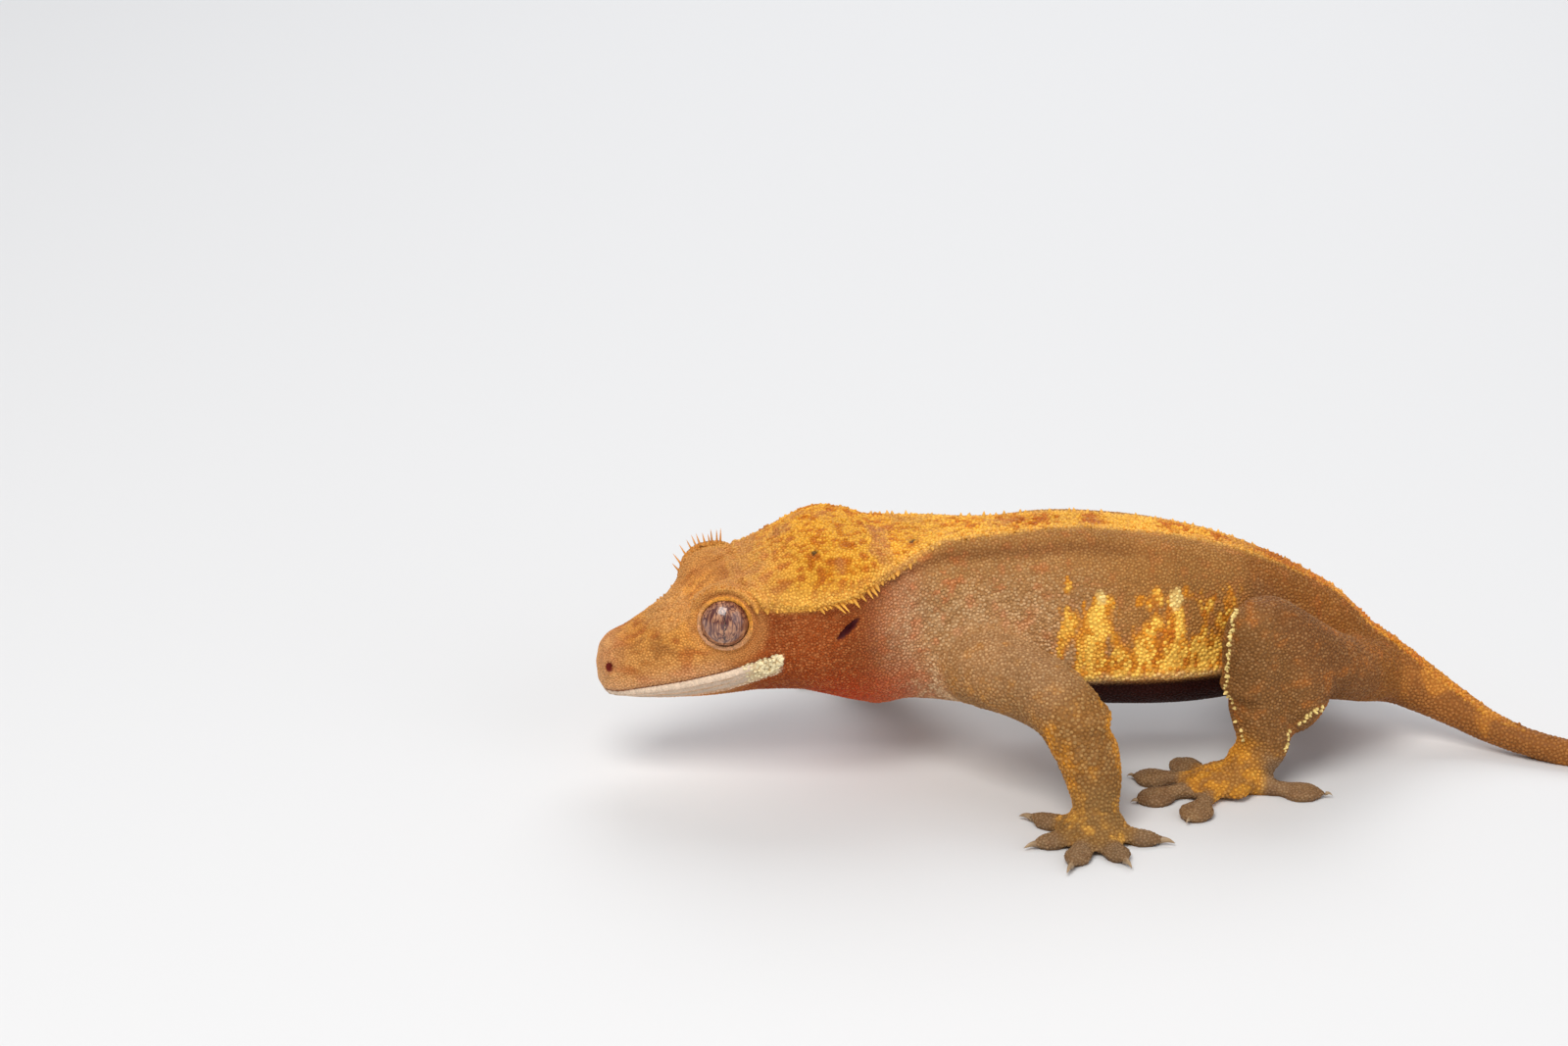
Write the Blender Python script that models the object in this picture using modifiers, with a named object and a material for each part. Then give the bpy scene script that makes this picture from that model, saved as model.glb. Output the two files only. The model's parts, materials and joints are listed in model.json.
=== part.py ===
"""Crested gecko, life size, standing on flat ground with its head raised and its tail laid down.

Everything below is in millimetres until a mesh is made. The animal faces -X, its left side is -Y, and the
ground is Z = 0. The body is modelled whole, as one fused skin, then parted with thin cuts into named pieces.
"""

import math

import bmesh
import bpy
import numpy as np
from mathutils import Matrix, Vector

MM = 0.001

# Driving dimensions
SNOUT_X = -62.4
BLUNT_SNOUT_TO_X = -60.5
LOFT_END_X = 48.0
LOFT_STEP = 0.75
CUT_GAP = 0.3
VOXEL = 0.36
BLEND_PASSES = 22
SETTLE_PASSES = 5
SKIN_TRIANGLES = 7600
PIECE_THINNING = 0.66

# The block below the ground, in metres
GROUND_BLOCK = (0.6, 0.4, 0.1)

# Where the fused skin relaxes: from the neck back, above the feet, and ahead of the tail
SOFT_FROM_X = (-30.0, -18.0)
SOFT_FROM_HEIGHT = (4.0, 9.0)
SOFT_TO_X = (46.0, 56.0)
LEAST_SOFTNESS = 0.001

# Points round half of one body section: up the flank, up to the crest, and over the back
FLANK_POINTS = 13
TEMPLE_POINTS = 13
BACK_POINTS = 9
SECTION_ROUNDNESS = 0.85

# Head carriage, turned about the neck
HEAD_YAW_DEG = 3.0
HEAD_ROLL_DEG = 5.0
HEAD_PIVOT = Vector((-24.0, 0.0, 21.0))
NECK_TURN_FROM_X = -16.0
NECK_TURN_TO_X = -31.0

# Eyes
EYE_RADIUS = 3.6
EYE_X = -46.3
EYE_Y = 6.0
EYE_Z = 23.8
SOCKET_CLEARANCE = 0.3

# Profiles along the body, each a list of (x, value)
BACK_HEIGHT = [(-62.4, 16.2), (-62, 17.6), (-61, 18.9), (-58, 20.4), (-54.5, 22.6), (-51, 24.4),
               (-47, 26.9), (-43.5, 28.6), (-40, 30.8), (-36, 32.8), (-32, 34.0), (-29, 33.9),
               (-25, 32.2), (-21, 32.2), (-17, 32.3), (-8, 32.5), (0, 32.6), (8, 31.8), (16, 30.4),
               (23, 28.3), (31, 24.5), (37, 20.8), (42, 15.9), (48, 10.6)]
BELLY_HEIGHT = [(-62.4, 15.6), (-62, 13.2), (-60.5, 11.6), (-56, 11.0), (-47, 11.3), (-41, 12.0),
                (-37, 12.0), (-33, 11.1), (-29, 9.6), (-25.5, 8.6), (-22, 9.0), (-19, 8.8), (-13, 7.8),
                (-5, 7.5), (2, 7.3), (15, 6.9), (24, 7.4), (34, 5.9), (44, 4.6), (48, 4.4)]
GIRTH = [(-62.4, 0.3), (-62, 2.2), (-61, 3.6), (-58, 4.9), (-50, 7.4), (-42, 9.7), (-35, 11.5),
         (-31, 11.9), (-25, 10.9), (-20, 9.9), (-12, 9.8), (0, 10.8), (9, 11.2), (17, 10.4), (26, 8.4),
         (36, 6.4), (48, 3.2)]
GIRTH_HEIGHT = [(-62, 15.2), (-56, 15.8), (-50, 17.2), (-44, 19.4), (-34, 21.0), (-24, 20.6), (-12, 19.2),
                (2, 17.0), (18, 15.6), (32, 13.0), (48, 7.4)]
CREST_WIDTH = [(-62.4, 0.2), (-61.5, 2.0), (-58, 3.4), (-53, 4.6), (-51, 5.3), (-49, 6.1), (-46, 6.6),
               (-43, 8.6), (-39.5, 10.3), (-36, 11.7), (-33.5, 12.7), (-31.5, 12.8), (-30, 11.9),
               (-27, 9.9), (-22, 7.3), (-17, 4.9), (-11, 3.7), (0, 3.5), (10, 3.3), (17, 2.7), (23, 1.9),
               (32, 1.5), (48, 1.0)]
CREST_HEIGHT = [(-62.4, 16.1), (-61.5, 17.7), (-58, 19.3), (-54, 21.4), (-51.4, 23.8), (-49.6, 27.4),
                (-47.5, 29.0), (-45.5, 28.9), (-43, 27.4), (-39.5, 27.1), (-36, 27.6), (-33, 28.3),
                (-31, 28.8), (-26, 30.2), (-22, 31.2), (-17, 31.9), (-10, 31.8), (-3, 32.3), (2, 32.2),
                (8, 31.5), (16, 30.0), (23, 28.0), (31, 24.2), (37, 20.5), (42, 15.5), (48, 10.2)]
CREST_RIDGE = [(-62, 0.0), (-52, 0.15), (-47, 0.5), (-42, 0.2), (-36, 0.3), (-30, 0.4), (-24, 0.4),
               (-12, 0.4), (20, 0.3), (40, 0.2), (48, 0.0)]
TEMPLE_HOLLOW = [(-62, 0.0), (-55, 0.4), (-50, 0.0), (-44, 0.2), (-38, 0.4), (-31, 0.4), (-26, 0.2),
                 (-18, 0.0), (-8, 0.0), (48, 0.0)]

# Line of the closed mouth, as (x, height), from in front of the lips to under the jaw joint
MOUTH_LINE = [(-64.0, 12.4), (-61.0, 12.7), (-58.8, 13.4), (-56.0, 14.3), (-51.6, 15.5), (-46.7, 17.2),
              (-43.1, 18.8), (-40.8, 20.2), (-39.6, 19.6), (-38.6, 16.5), (-38.0, 7.0)]
MOUTH_CUT_REACH = 16

# Tail centre line, as (x, y, height, radius)
TAIL = [(36.0, 0.0, 12.4, 6.2), (42.0, -0.6, 10.4, 4.9), (47.0, -2.2, 7.8, 3.7), (52.0, -4.6, 5.2, 2.75),
        (57.0, -8.4, 2.8, 2.1), (63.0, -12.8, 1.6, 1.85), (72.0, -17.6, 1.5, 1.75), (84.0, -19.6, 1.4, 1.6),
        (95.0, -16.2, 1.25, 1.45), (103.0, -9.0, 1.1, 1.3), (107.0, -1.0, 0.95, 1.1)]
TAIL_PAD = ((107.2, -1.0, 0.8), (3.2, 1.75, 0.85), (0.35, 1.0, 0.0))

# Toes: the core as (share of the way from palm to tip, lift, radius), and the pad and web laid on it
CLAW_RADIUS = 0.32
CLAW_HEIGHT = 0.55
TOE_CORE = [(0.0, 0.0, 1.44), (0.45, 0.0, 1.15), (0.72, 0.25, 0.95), (0.88, 0.2, 0.7),
            (1.0, 0.0, CLAW_RADIUS)]
FORE_PAD = {"radii": (2.5, 2.0, 0.95), "at": 0.64}
HIND_PAD = {"radii": (2.8, 2.5, 1.1), "at": 0.74}
TOE_PAD_HEIGHT = 0.65
WEB_SIZE = (2.9, 2.3, 0.8)
WEB_AT = 0.26
WEB_HEIGHT = 0.9

# Legs, as centre lines of (x, y, height, radius) and rounded lumps of (centre, radii, direction)
FORE_LEFT = {
    "limb": [(-15.0, -4.5, 16.0, 6.0), (-13.5, -9.5, 16.2, 5.6), (-8.5, -15.5, 16.2, 5.0),
             (-3.6, -20.8, 14.6, 4.7), (-1.4, -24.0, 9.8, 4.3), (-0.6, -26.6, 5.8, 3.7),
             (-1.0, -29.4, 2.6, 2.7)],
    "lumps": [((-1.2, -29.6, 1.7), (4.4, 4.1, 1.95), (-0.25, -1, 0))],
    "root": (-1.4, -29.8, 1.3),
    "pad": FORE_PAD,
    "toes": [(-9.2, -23.4), (-10.2, -32.6), (-6.6, -40.2), (1.2, -39.6), (7.6, -33.4)],
}
FORE_RIGHT = {
    "limb": [(-15.0, 4.5, 16.0, 6.0), (-15.0, 9.5, 16.2, 5.5), (-15.4, 16.5, 15.6, 4.8),
             (-16.6, 21.6, 12.6, 4.5), (-19.8, 23.8, 8.6, 4.1), (-22.4, 25.6, 5.2, 3.5),
             (-24.4, 27.2, 2.6, 2.7)],
    "lumps": [((-24.8, 27.8, 1.7), (4.4, 4.1, 1.95), (-0.8, 0.6, 0))],
    "root": (-25.0, 28.0, 1.3),
    "pad": FORE_PAD,
    "toes": [(-31.8, 24.6), (-36.0, 30.4), (-33.4, 37.2), (-25.4, 38.8), (-17.6, 34.6)],
}
HIND_LEFT = {
    "limb": [(42.0, -2.5, 10.0, 4.4), (35.5, -8.8, 12.6, 4.5), (28.8, -13.2, 17.8, 4.5),
             (21.8, -15.8, 23.8, 4.2), (21.8, -16.0, 15.0, 4.2), (23.4, -16.2, 8.4, 3.8),
             (23.8, -16.4, 4.6, 3.3), (20.0, -16.8, 2.6, 2.8)],
    "lumps": [((27.4, -14.9, 13.6), (5.6, 3.7, 7.0), (1, 0.1, 0)),
              ((18.6, -17.2, 1.7), (4.8, 4.1, 1.95), (-1, -0.1, 0))],
    "root": (18.0, -17.4, 1.3),
    "pad": HIND_PAD,
    "toes": [(13.6, -8.0), (6.8, -12.2), (5.6, -20.4), (11.2, -27.6), (31.4, -21.4)],
}
HIND_RIGHT = {
    "limb": [(42.0, 2.5, 10.0, 4.4), (38.0, 8.6, 11.4, 4.5), (33.4, 14.0, 13.0, 4.5),
             (29.0, 18.4, 14.2, 4.3), (32.2, 19.6, 10.8, 4.2), (35.2, 20.6, 7.6, 3.7),
             (36.0, 21.6, 4.4, 3.2), (32.6, 23.8, 2.6, 2.8)],
    "lumps": [((34.2, 16.6, 9.6), (4.8, 3.6, 5.0), (1, 0.9, 0)),
              ((31.2, 24.8, 1.7), (4.8, 4.1, 1.95), (-0.9, 0.5, 0))],
    "root": (30.8, 25.0, 1.3),
    "pad": HIND_PAD,
    "toes": [(22.4, 19.6), (18.6, 26.8), (22.2, 34.4), (30.0, 36.4), (41.4, 30.6)],
}
LEGS = {"foreleg_left": FORE_LEFT, "foreleg_right": FORE_RIGHT, "hindleg_left": HIND_LEFT,
        "hindleg_right": HIND_RIGHT}

# Parting cuts: a disc is (centre, normal, radius)
# and a slab is (centre, normal, along, half length, half width)
HEAD_CUTS = [((-28.2, 0, 21), (1, 0, 0.12), 19)]
DISC_CUTS = [
    ((-21.3, 0, 21), (1, 0, 0), 14),
    ((4.6, 0, 19), (1, 0, 0), 16),
    ((66.0, -14.6, 1.6), (1, -0.62, 0), 4),
    ((86.0, -19.4, 1.4), (1, 0.05, 0), 4),
    ((-13.4, -10.7, 15.6), (0, 1, 0), 8.4),
    ((-3.4, -21.0, 13.8), (0.55, -0.65, -0.5), 6.6),
    ((-0.7, -27.2, 5.1), (0, -0.55, -0.8), 5.4),
    ((-15.2, 10.8, 15.8), (0, 1, 0), 8.0),
    ((-17.0, 21.5, 12.2), (-0.4, 0.66, -0.63), 6.6),
    ((-22.6, 25.9, 4.9), (-0.5, 0.4, -0.77), 5.4),
    ((23.8, -16.3, 5.3), (-0.49, -0.14, -0.86), 5.2),
    ((35.9, 21.4, 5.0), (-0.3, 0.5, -0.8), 5.2),
]
FLANK_CUTS = [
    ((34.25, -7.4, 14), (-0.23, -0.97, 0), (0, 0, 1), 16, 11.6),
    ((36.75, 7.3, 12), (0.29, 0.957, 0), (0, 0, 1), 14, 9.14),
]
JOINING_CUTS = [
    ((23.0, 0, 16), (1, 0, 0), (0, 0, 1), 15, 10.1),
    ((45.5, -1.2, 10), (1, 0, 0), (0, 0, 1), 11, 9.0),
    ((26.3, -15.5, 16.5), (0.73, 0.47, 0.49), (0.47, 0.19, -0.86), 14, 6.3),
    ((33.4, 16.7, 10.4), (0.09, -0.86, 0.5), (0.74, -0.28, -0.61), 12, 6.8),
]

# A point well inside each piece of flesh, which gives the piece its name
PIECES = {
    "head": (-42, 0, 24), "lower_jaw": (-50, 0, 13), "neck": (-25, 0, 20), "chest": (-8, 0, 20),
    "belly": (15, 0, 18), "pelvis": (35, 0, 14), "tail_base": (54, -6, 4),
    "tail_middle": (76, -18.6, 1.5), "tail_tip": (98, -13, 1.2), "upper_arm_left": (-9, -15.5, 16),
    "forearm_left": (-1.6, -24, 9.8), "forefoot_left": (-1.4, -30, 1.5),
    "upper_arm_right": (-15.4, 16, 15.6), "forearm_right": (-19.6, 23.8, 8.6),
    "forefoot_right": (-25, 28.2, 1.5), "thigh_left": (31, -12.4, 15.5), "shin_left": (23, -16, 12),
    "hindfoot_left": (17.6, -17.4, 1.5), "thigh_right": (35, 12.5, 12), "shin_right": (33.8, 20.2, 9.4),
    "hindfoot_right": (30.4, 25.2, 1.5),
}

# Colour and roughness of each piece, by how its name starts
LOOKS = {
    "eye": ((0.20, 0.13, 0.13), 0.15), "head": ((0.55, 0.24, 0.06), 0.55),
    "lower_jaw": ((0.55, 0.24, 0.12), 0.55), "neck": ((0.48, 0.16, 0.05), 0.6),
    "chest": ((0.30, 0.16, 0.07), 0.6), "belly": ((0.36, 0.21, 0.08), 0.6),
    "pelvis": ((0.32, 0.16, 0.06), 0.6), "tail": ((0.30, 0.13, 0.05), 0.6),
    "upper_arm": ((0.29, 0.16, 0.06), 0.6), "forearm": ((0.29, 0.16, 0.06), 0.6),
    "thigh": ((0.22, 0.12, 0.06), 0.6), "shin": ((0.25, 0.13, 0.06), 0.6),
    "forefoot": ((0.32, 0.20, 0.12), 0.6), "hindfoot": ((0.36, 0.22, 0.12), 0.6),
}
SHARP_ANGLE_DEG = 50.0


def smooth_profile(knots):
    """A function of x through the knots, with no overshoot between them."""
    at, value = np.array(knots, float).T
    slope = np.diff(value) / np.diff(at)
    tangent = np.concatenate([[slope[0]], (slope[1:] + slope[:-1]) / 2, [slope[-1]]])
    turns = np.concatenate([[False], slope[1:] * slope[:-1] <= 0, [False]])
    tangent[turns] = 0.0
    limit = 3 * np.minimum(np.abs(np.append(slope, slope[-1])), np.abs(np.insert(slope, 0, slope[0])))
    tangent = np.clip(tangent, -limit, limit)

    def profile(x):
        x = np.clip(x, at[0], at[-1])
        k = np.clip(np.searchsorted(at, x) - 1, 0, len(at) - 2)
        span = at[k + 1] - at[k]
        t = (x - at[k]) / span
        return ((2 * t**3 - 3 * t**2 + 1) * value[k] + (t**3 - 2 * t**2 + t) * span * tangent[k]
                + (3 * t**2 - 2 * t**3) * value[k + 1] + (t**3 - t**2) * span * tangent[k + 1])

    return profile


back_height = smooth_profile(BACK_HEIGHT)
belly_height = smooth_profile(BELLY_HEIGHT)
girth = smooth_profile(GIRTH)
girth_height = smooth_profile(GIRTH_HEIGHT)
crest_width = smooth_profile(CREST_WIDTH)
crest_height = smooth_profile(CREST_HEIGHT)
crest_ridge = smooth_profile(CREST_RIDGE)
temple_hollow = smooth_profile(TEMPLE_HOLLOW)


def smoothstep(value, start, end):
    t = min(max((value - start) / (end - start), 0.0), 1.0)
    return t * t * (3 - 2 * t)


def head_pose(point):
    """The point after the neck has turned the head. Points behind the neck stay where they are."""
    share = smoothstep(point.x, NECK_TURN_FROM_X, NECK_TURN_TO_X)
    turn = (Matrix.Rotation(math.radians(HEAD_YAW_DEG * share), 3, "Z")
            @ Matrix.Rotation(math.radians(HEAD_ROLL_DEG * share), 3, "X"))
    return HEAD_PIVOT + turn @ (point - HEAD_PIVOT)


def half_section(x):
    """Points (lateral, height) of the left half of the body's outline at x, from the belly to the back."""
    low, wide, wide_at = belly_height(x), girth(x), girth_height(x)
    crest_out, crest_up, top = crest_width(x), crest_height(x), back_height(x)
    points = []
    for t in np.linspace(0, math.pi / 2, FLANK_POINTS)[:-1]:
        out = wide * math.sin(t) ** SECTION_ROUNDNESS
        points.append((out, wide_at - (wide_at - low) * math.cos(t) ** SECTION_ROUNDNESS))
    for s in np.linspace(0, 1, TEMPLE_POINTS)[:-1]:
        out = crest_out + (wide - crest_out) * math.cos(s * math.pi / 2)
        hollow = temple_hollow(x) * math.sin(s * math.pi)
        points.append((out - hollow, wide_at + (crest_up - wide_at) * math.sin(s * math.pi / 2)))
    ridge = crest_ridge(x)
    points.append((crest_out + ridge, crest_up + 0.35 * ridge))
    for s in np.linspace(0, 1, BACK_POINTS)[1:]:
        rise = math.sin(s * math.pi / 2) if top > crest_up else (1 - math.cos(s * math.pi)) / 2
        points.append((crest_out * math.cos(s * math.pi / 2), crest_up + (top - crest_up) * rise))
    return points


def object_from(name, mesh):
    made = bpy.data.objects.new(name, mesh)
    bpy.context.scene.collection.objects.link(made)
    return made


def object_from_bmesh(name, shape):
    bmesh.ops.recalc_face_normals(shape, faces=shape.faces)
    mesh = bpy.data.meshes.new(name)
    shape.to_mesh(mesh)
    shape.free()
    return object_from(name, mesh)


def body_loft():
    """Head, neck and trunk as one loft of mirrored sections."""
    shape = bmesh.new()
    stations = np.concatenate([np.linspace(SNOUT_X, BLUNT_SNOUT_TO_X, 9)[:-1],
                               np.arange(BLUNT_SNOUT_TO_X, LOFT_END_X, LOFT_STEP)])
    rings = []
    for x in stations:
        half = half_section(float(x))
        outline = [(-out, up) for out, up in half] + [(out, up) for out, up in half[-2:0:-1]]
        rings.append([shape.verts.new(head_pose(Vector((x, y, z))) * MM) for y, z in outline])
    for first, second in zip(rings[:-1], rings[1:]):
        count = len(first)
        for i in range(count):
            j = (i + 1) % count
            shape.faces.new((first[i], first[j], second[j], second[i]))
    shape.faces.new(rings[0])
    shape.faces.new(reversed(rings[-1]))
    return object_from_bmesh("body_loft", shape)


def tube(name, path):
    """A round tube through (x, y, z, radius) points, as a mesh with closed ends."""
    curve = bpy.data.curves.new(name, "CURVE")
    curve.dimensions = "3D"
    curve.bevel_depth = MM
    curve.bevel_resolution = 5
    curve.resolution_u = 5
    curve.use_fill_caps = True
    spline = curve.splines.new("NURBS")
    spline.points.add(len(path) - 1)
    spline.order_u = 3
    spline.use_endpoint_u = True
    for point, (x, y, z, radius) in zip(spline.points, path):
        point.co = (x * MM, y * MM, z * MM, 1)
        point.radius = radius
    return mesh_object_of(object_from(name, curve))


def mesh_object_of(source):
    """The object as a plain mesh object of the same name, with curve caps welded."""
    bpy.context.view_layer.update()
    graph = bpy.context.evaluated_depsgraph_get()
    mesh = bpy.data.meshes.new_from_object(source.evaluated_get(graph))
    matrix = source.matrix_world.copy()
    name = source.name
    bpy.data.objects.remove(source)
    made = object_from(name, mesh)
    made.matrix_world = matrix
    shape = bmesh.new()
    shape.from_mesh(mesh)
    bmesh.ops.remove_doubles(shape, verts=shape.verts, dist=0.01 * MM)
    shape.to_mesh(mesh)
    shape.free()
    return made


def ellipsoid(name, centre, radii, towards=(1, 0, 0)):
    """A smooth lump whose first radius lies along the direction given."""
    shape = bmesh.new()
    bmesh.ops.create_uvsphere(shape, u_segments=28, v_segments=18, radius=MM)
    turn = Vector(towards).to_track_quat("X", "Z").to_matrix().to_4x4()
    place = Matrix.Translation(Vector(centre) * MM) @ turn @ Matrix.Diagonal((*radii, 1))
    bmesh.ops.transform(shape, matrix=place, verts=shape.verts)
    return object_from_bmesh(name, shape)


def toe(name, root, pad, tip_x, tip_y):
    """A digit from the palm: a round root, a flat pad under it, and a cone that ends in the claw."""
    start = Vector(root)
    tip = Vector((tip_x, tip_y, CLAW_HEIGHT))
    way = tip - start
    path = [(*(start + way * share + Vector((0, 0, lift))), radius) for share, lift, radius in TOE_CORE]
    middle = start + way * pad["at"]
    sole = ellipsoid(name + "_pad", (middle.x, middle.y, TOE_PAD_HEIGHT), pad["radii"], (way.x, way.y, 0))
    return [tube(name + "_core", path), sole]


def web(name, root, first, second):
    """The low skin between two neighbouring toes."""
    middle = (Vector((*first, 0)) + Vector((*second, 0))) / 2
    centre = Vector(root).lerp(middle, WEB_AT)
    way = middle - Vector((root[0], root[1], 0))
    return ellipsoid(name, (centre.x, centre.y, WEB_HEIGHT), WEB_SIZE, (way.x, way.y, 0))


def leg(name, plan):
    pieces = [tube(name, plan["limb"])]
    for i, (centre, radii, towards) in enumerate(plan["lumps"]):
        pieces.append(ellipsoid(f"{name}_lump_{i}", centre, radii, towards))
    for i, (x, y) in enumerate(plan["toes"]):
        pieces += toe(f"{name}_toe_{i}", plan["root"], plan["pad"], x, y)
    for i, (first, second) in enumerate(zip(plan["toes"][:-1], plan["toes"][1:])):
        pieces.append(web(f"{name}_web_{i}", plan["root"], first, second))
    return pieces


def joined(name, pieces):
    """One object of several overlapping ones, whose surfaces still cross."""
    shape = bmesh.new()
    for piece in pieces:
        mesh = piece.data
        mesh.transform(piece.matrix_world)
        shape.from_mesh(mesh)
        bpy.data.objects.remove(piece)
    mesh = bpy.data.meshes.new(name)
    shape.to_mesh(mesh)
    shape.free()
    return object_from(name, mesh)


def softness(point):
    """How much the fused skin relaxes at a point: fully on the trunk, hardly on the head and feet."""
    x, height = point.x / MM, point.z / MM
    along = smoothstep(x, *SOFT_FROM_X) * (1 - smoothstep(x, *SOFT_TO_X))
    return along * smoothstep(height, *SOFT_FROM_HEIGHT) + LEAST_SOFTNESS


def fused_skin(pieces):
    """The pieces melted into one closed skin, relaxed where they join, then thinned to few faces."""
    skin = joined("skin", pieces)
    melt = skin.modifiers.new("melt", "REMESH")
    melt.mode = "VOXEL"
    melt.voxel_size = VOXEL * MM
    skin = mesh_object_of(skin)
    soft = skin.vertex_groups.new(name="soft")
    for vertex in skin.data.vertices:
        soft.add([vertex.index], softness(vertex.co), "REPLACE")
    blend = skin.modifiers.new("blend", "SMOOTH")
    blend.iterations = BLEND_PASSES
    blend.vertex_group = soft.name
    settle = skin.modifiers.new("settle", "SMOOTH")
    settle.iterations = SETTLE_PASSES
    thin = skin.modifiers.new("thin", "DECIMATE")
    thin.ratio = SKIN_TRIANGLES / (2 * len(skin.data.polygons))
    thin.use_collapse_triangulate = True
    return mesh_object_of(skin)


def turned(x_way, y_way, z_way, centre):
    """The matrix that carries the axes to three directions at a centre."""
    matrix = Matrix.Identity(4)
    for column, way in enumerate((x_way, y_way, z_way)):
        matrix.col[column] = (*Vector(way).normalized(), 0)
    matrix.translation = centre
    return matrix


def thin_disc(centre, normal, radius):
    shape = bmesh.new()
    bmesh.ops.create_cone(shape, cap_ends=True, segments=32, radius1=radius * MM, radius2=radius * MM,
                          depth=CUT_GAP * MM)
    normal = Vector(normal).normalized()
    side = normal.orthogonal()
    place = turned(side, normal.cross(side), normal, Vector(centre) * MM)
    bmesh.ops.transform(shape, matrix=place, verts=shape.verts)
    return object_from_bmesh("disc", shape)


def thin_slab(centre, normal, along, half_length, half_width):
    shape = bmesh.new()
    bmesh.ops.create_cube(shape, size=2)
    normal = Vector(normal).normalized()
    along = (Vector(along) - normal * normal.dot(Vector(along))).normalized()
    size = Matrix.Diagonal((half_length * MM, half_width * MM, CUT_GAP / 2 * MM, 1))
    place = turned(along, normal.cross(along), normal, Vector(centre) * MM) @ size
    bmesh.ops.transform(shape, matrix=place, verts=shape.verts)
    return object_from_bmesh("slab", shape)


def mouth_cut():
    """A thin sheet bent along the mouth line, right through the head, which frees the lower jaw."""
    line = [Vector((x, 0, z)) for x, z in MOUTH_LINE]
    shape = bmesh.new()
    rows = []
    for i, point in enumerate(line):
        way = (line[min(i + 1, len(line) - 1)] - line[max(i - 1, 0)]).normalized()
        across = Vector((-way.z, 0, way.x)) * (CUT_GAP / 2)
        upper, lower, reach = point + across, point - across, MOUTH_CUT_REACH
        rows.append([shape.verts.new(Vector((corner.x, y, corner.z)) * MM)
                     for corner, y in ((upper, -reach), (upper, reach), (lower, reach), (lower, -reach))])
    for first, second in zip(rows[:-1], rows[1:]):
        for i in range(4):
            j = (i + 1) % 4
            shape.faces.new((first[i], first[j], second[j], second[i]))
    shape.faces.new(rows[0])
    shape.faces.new(reversed(rows[-1]))
    return posed(object_from_bmesh("mouth_cut", shape))


def posed(item):
    """The object turned with the head."""
    for vertex in item.data.vertices:
        vertex.co = head_pose(Vector(vertex.co) / MM) * MM
    return item


def ball(name, centre, radius):
    """A sphere made of quads, whose poles point sideways out of the head."""
    shape = bmesh.new()
    bmesh.ops.create_uvsphere(shape, u_segments=18, v_segments=11, radius=radius * MM)
    bmesh.ops.rotate(shape, matrix=Matrix.Rotation(math.pi / 2, 3, "X"), verts=shape.verts)
    bmesh.ops.translate(shape, vec=Vector(centre) * MM, verts=shape.verts)
    return object_from_bmesh(name, shape)


def below_ground():
    """A block whose top is the ground, which flattens the feet and tail where they rest."""
    shape = bmesh.new()
    bmesh.ops.create_cube(shape, size=1)
    size = Matrix.Diagonal((*GROUND_BLOCK, 1))
    place = Matrix.Translation((0, 0, -GROUND_BLOCK[2] / 2))
    bmesh.ops.transform(shape, matrix=place @ size, verts=shape.verts)
    return object_from_bmesh("below_ground", shape)


def cutters_collection():
    return bpy.data.collections.get("Cutters") or bpy.data.collections.new("Cutters")


def less(body, cutters):
    """The body with a set of cutters taken away. No two cutters of one set touch."""
    cutter = joined("cutter", cutters)
    bpy.context.scene.collection.objects.unlink(cutter)
    cutters_collection().objects.link(cutter)
    cutter.hide_render = True
    cutter.display_type = "WIRE"
    cut = body.modifiers.new("part", "BOOLEAN")
    cut.operation = "DIFFERENCE"
    cut.solver = "EXACT"
    cut.object = cutter
    body = mesh_object_of(body)
    bpy.data.objects.remove(cutter)
    return body


def eye_centres():
    return {"eye_left": head_pose(Vector((EYE_X, -EYE_Y, EYE_Z))),
            "eye_right": head_pose(Vector((EYE_X, EYE_Y, EYE_Z)))}


def parted(skin):
    """The skin cut into pieces by every parting cut, with sockets for the eyes and flats under the feet."""
    sockets = [ball("socket", centre, EYE_RADIUS + SOCKET_CLEARANCE) for centre in eye_centres().values()]
    skin = less(skin, [below_ground()] + sockets)
    skin = less(skin, [posed(thin_disc(*cut)) for cut in HEAD_CUTS] + [thin_disc(*cut) for cut in DISC_CUTS])
    skin = less(skin, [thin_slab(*cut) for cut in FLANK_CUTS] + [mouth_cut()])
    return less(skin, [thin_slab(*cut) for cut in JOINING_CUTS])


def loose_pieces(body):
    """Each unconnected shell of the body as an object of its own."""
    shape = bmesh.new()
    shape.from_mesh(body.data)
    bpy.data.objects.remove(body)
    unseen = set(shape.verts)
    shells = []
    while unseen:
        stack = [unseen.pop()]
        shell = set(stack)
        while stack:
            for edge in stack.pop().link_edges:
                for vertex in edge.verts:
                    if vertex not in shell:
                        shell.add(vertex)
                        unseen.discard(vertex)
                        stack.append(vertex)
        shells.append(shell)
    made = []
    for shell in sorted(shells, key=lambda members: min(vertex.index for vertex in members)):
        piece = bmesh.new()
        copies = {vertex: piece.verts.new(vertex.co) for vertex in sorted(shell, key=lambda v: v.index)}
        for face in shape.faces:
            if face.verts[0] in copies:
                piece.faces.new([copies[vertex] for vertex in face.verts])
        made.append(object_from_bmesh("piece", piece))
    shape.free()
    return made


def middle_of(piece):
    points = np.array([vertex.co for vertex in piece.data.vertices])
    return (points.min(axis=0) + points.max(axis=0)) / 2 / MM


def thinned(piece):
    """The piece with fewer faces, mostly on the flat ends that the cuts left."""
    thin = piece.modifiers.new("thin", "DECIMATE")
    thin.ratio = PIECE_THINNING
    thin.use_collapse_triangulate = True
    return mesh_object_of(piece)


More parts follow.
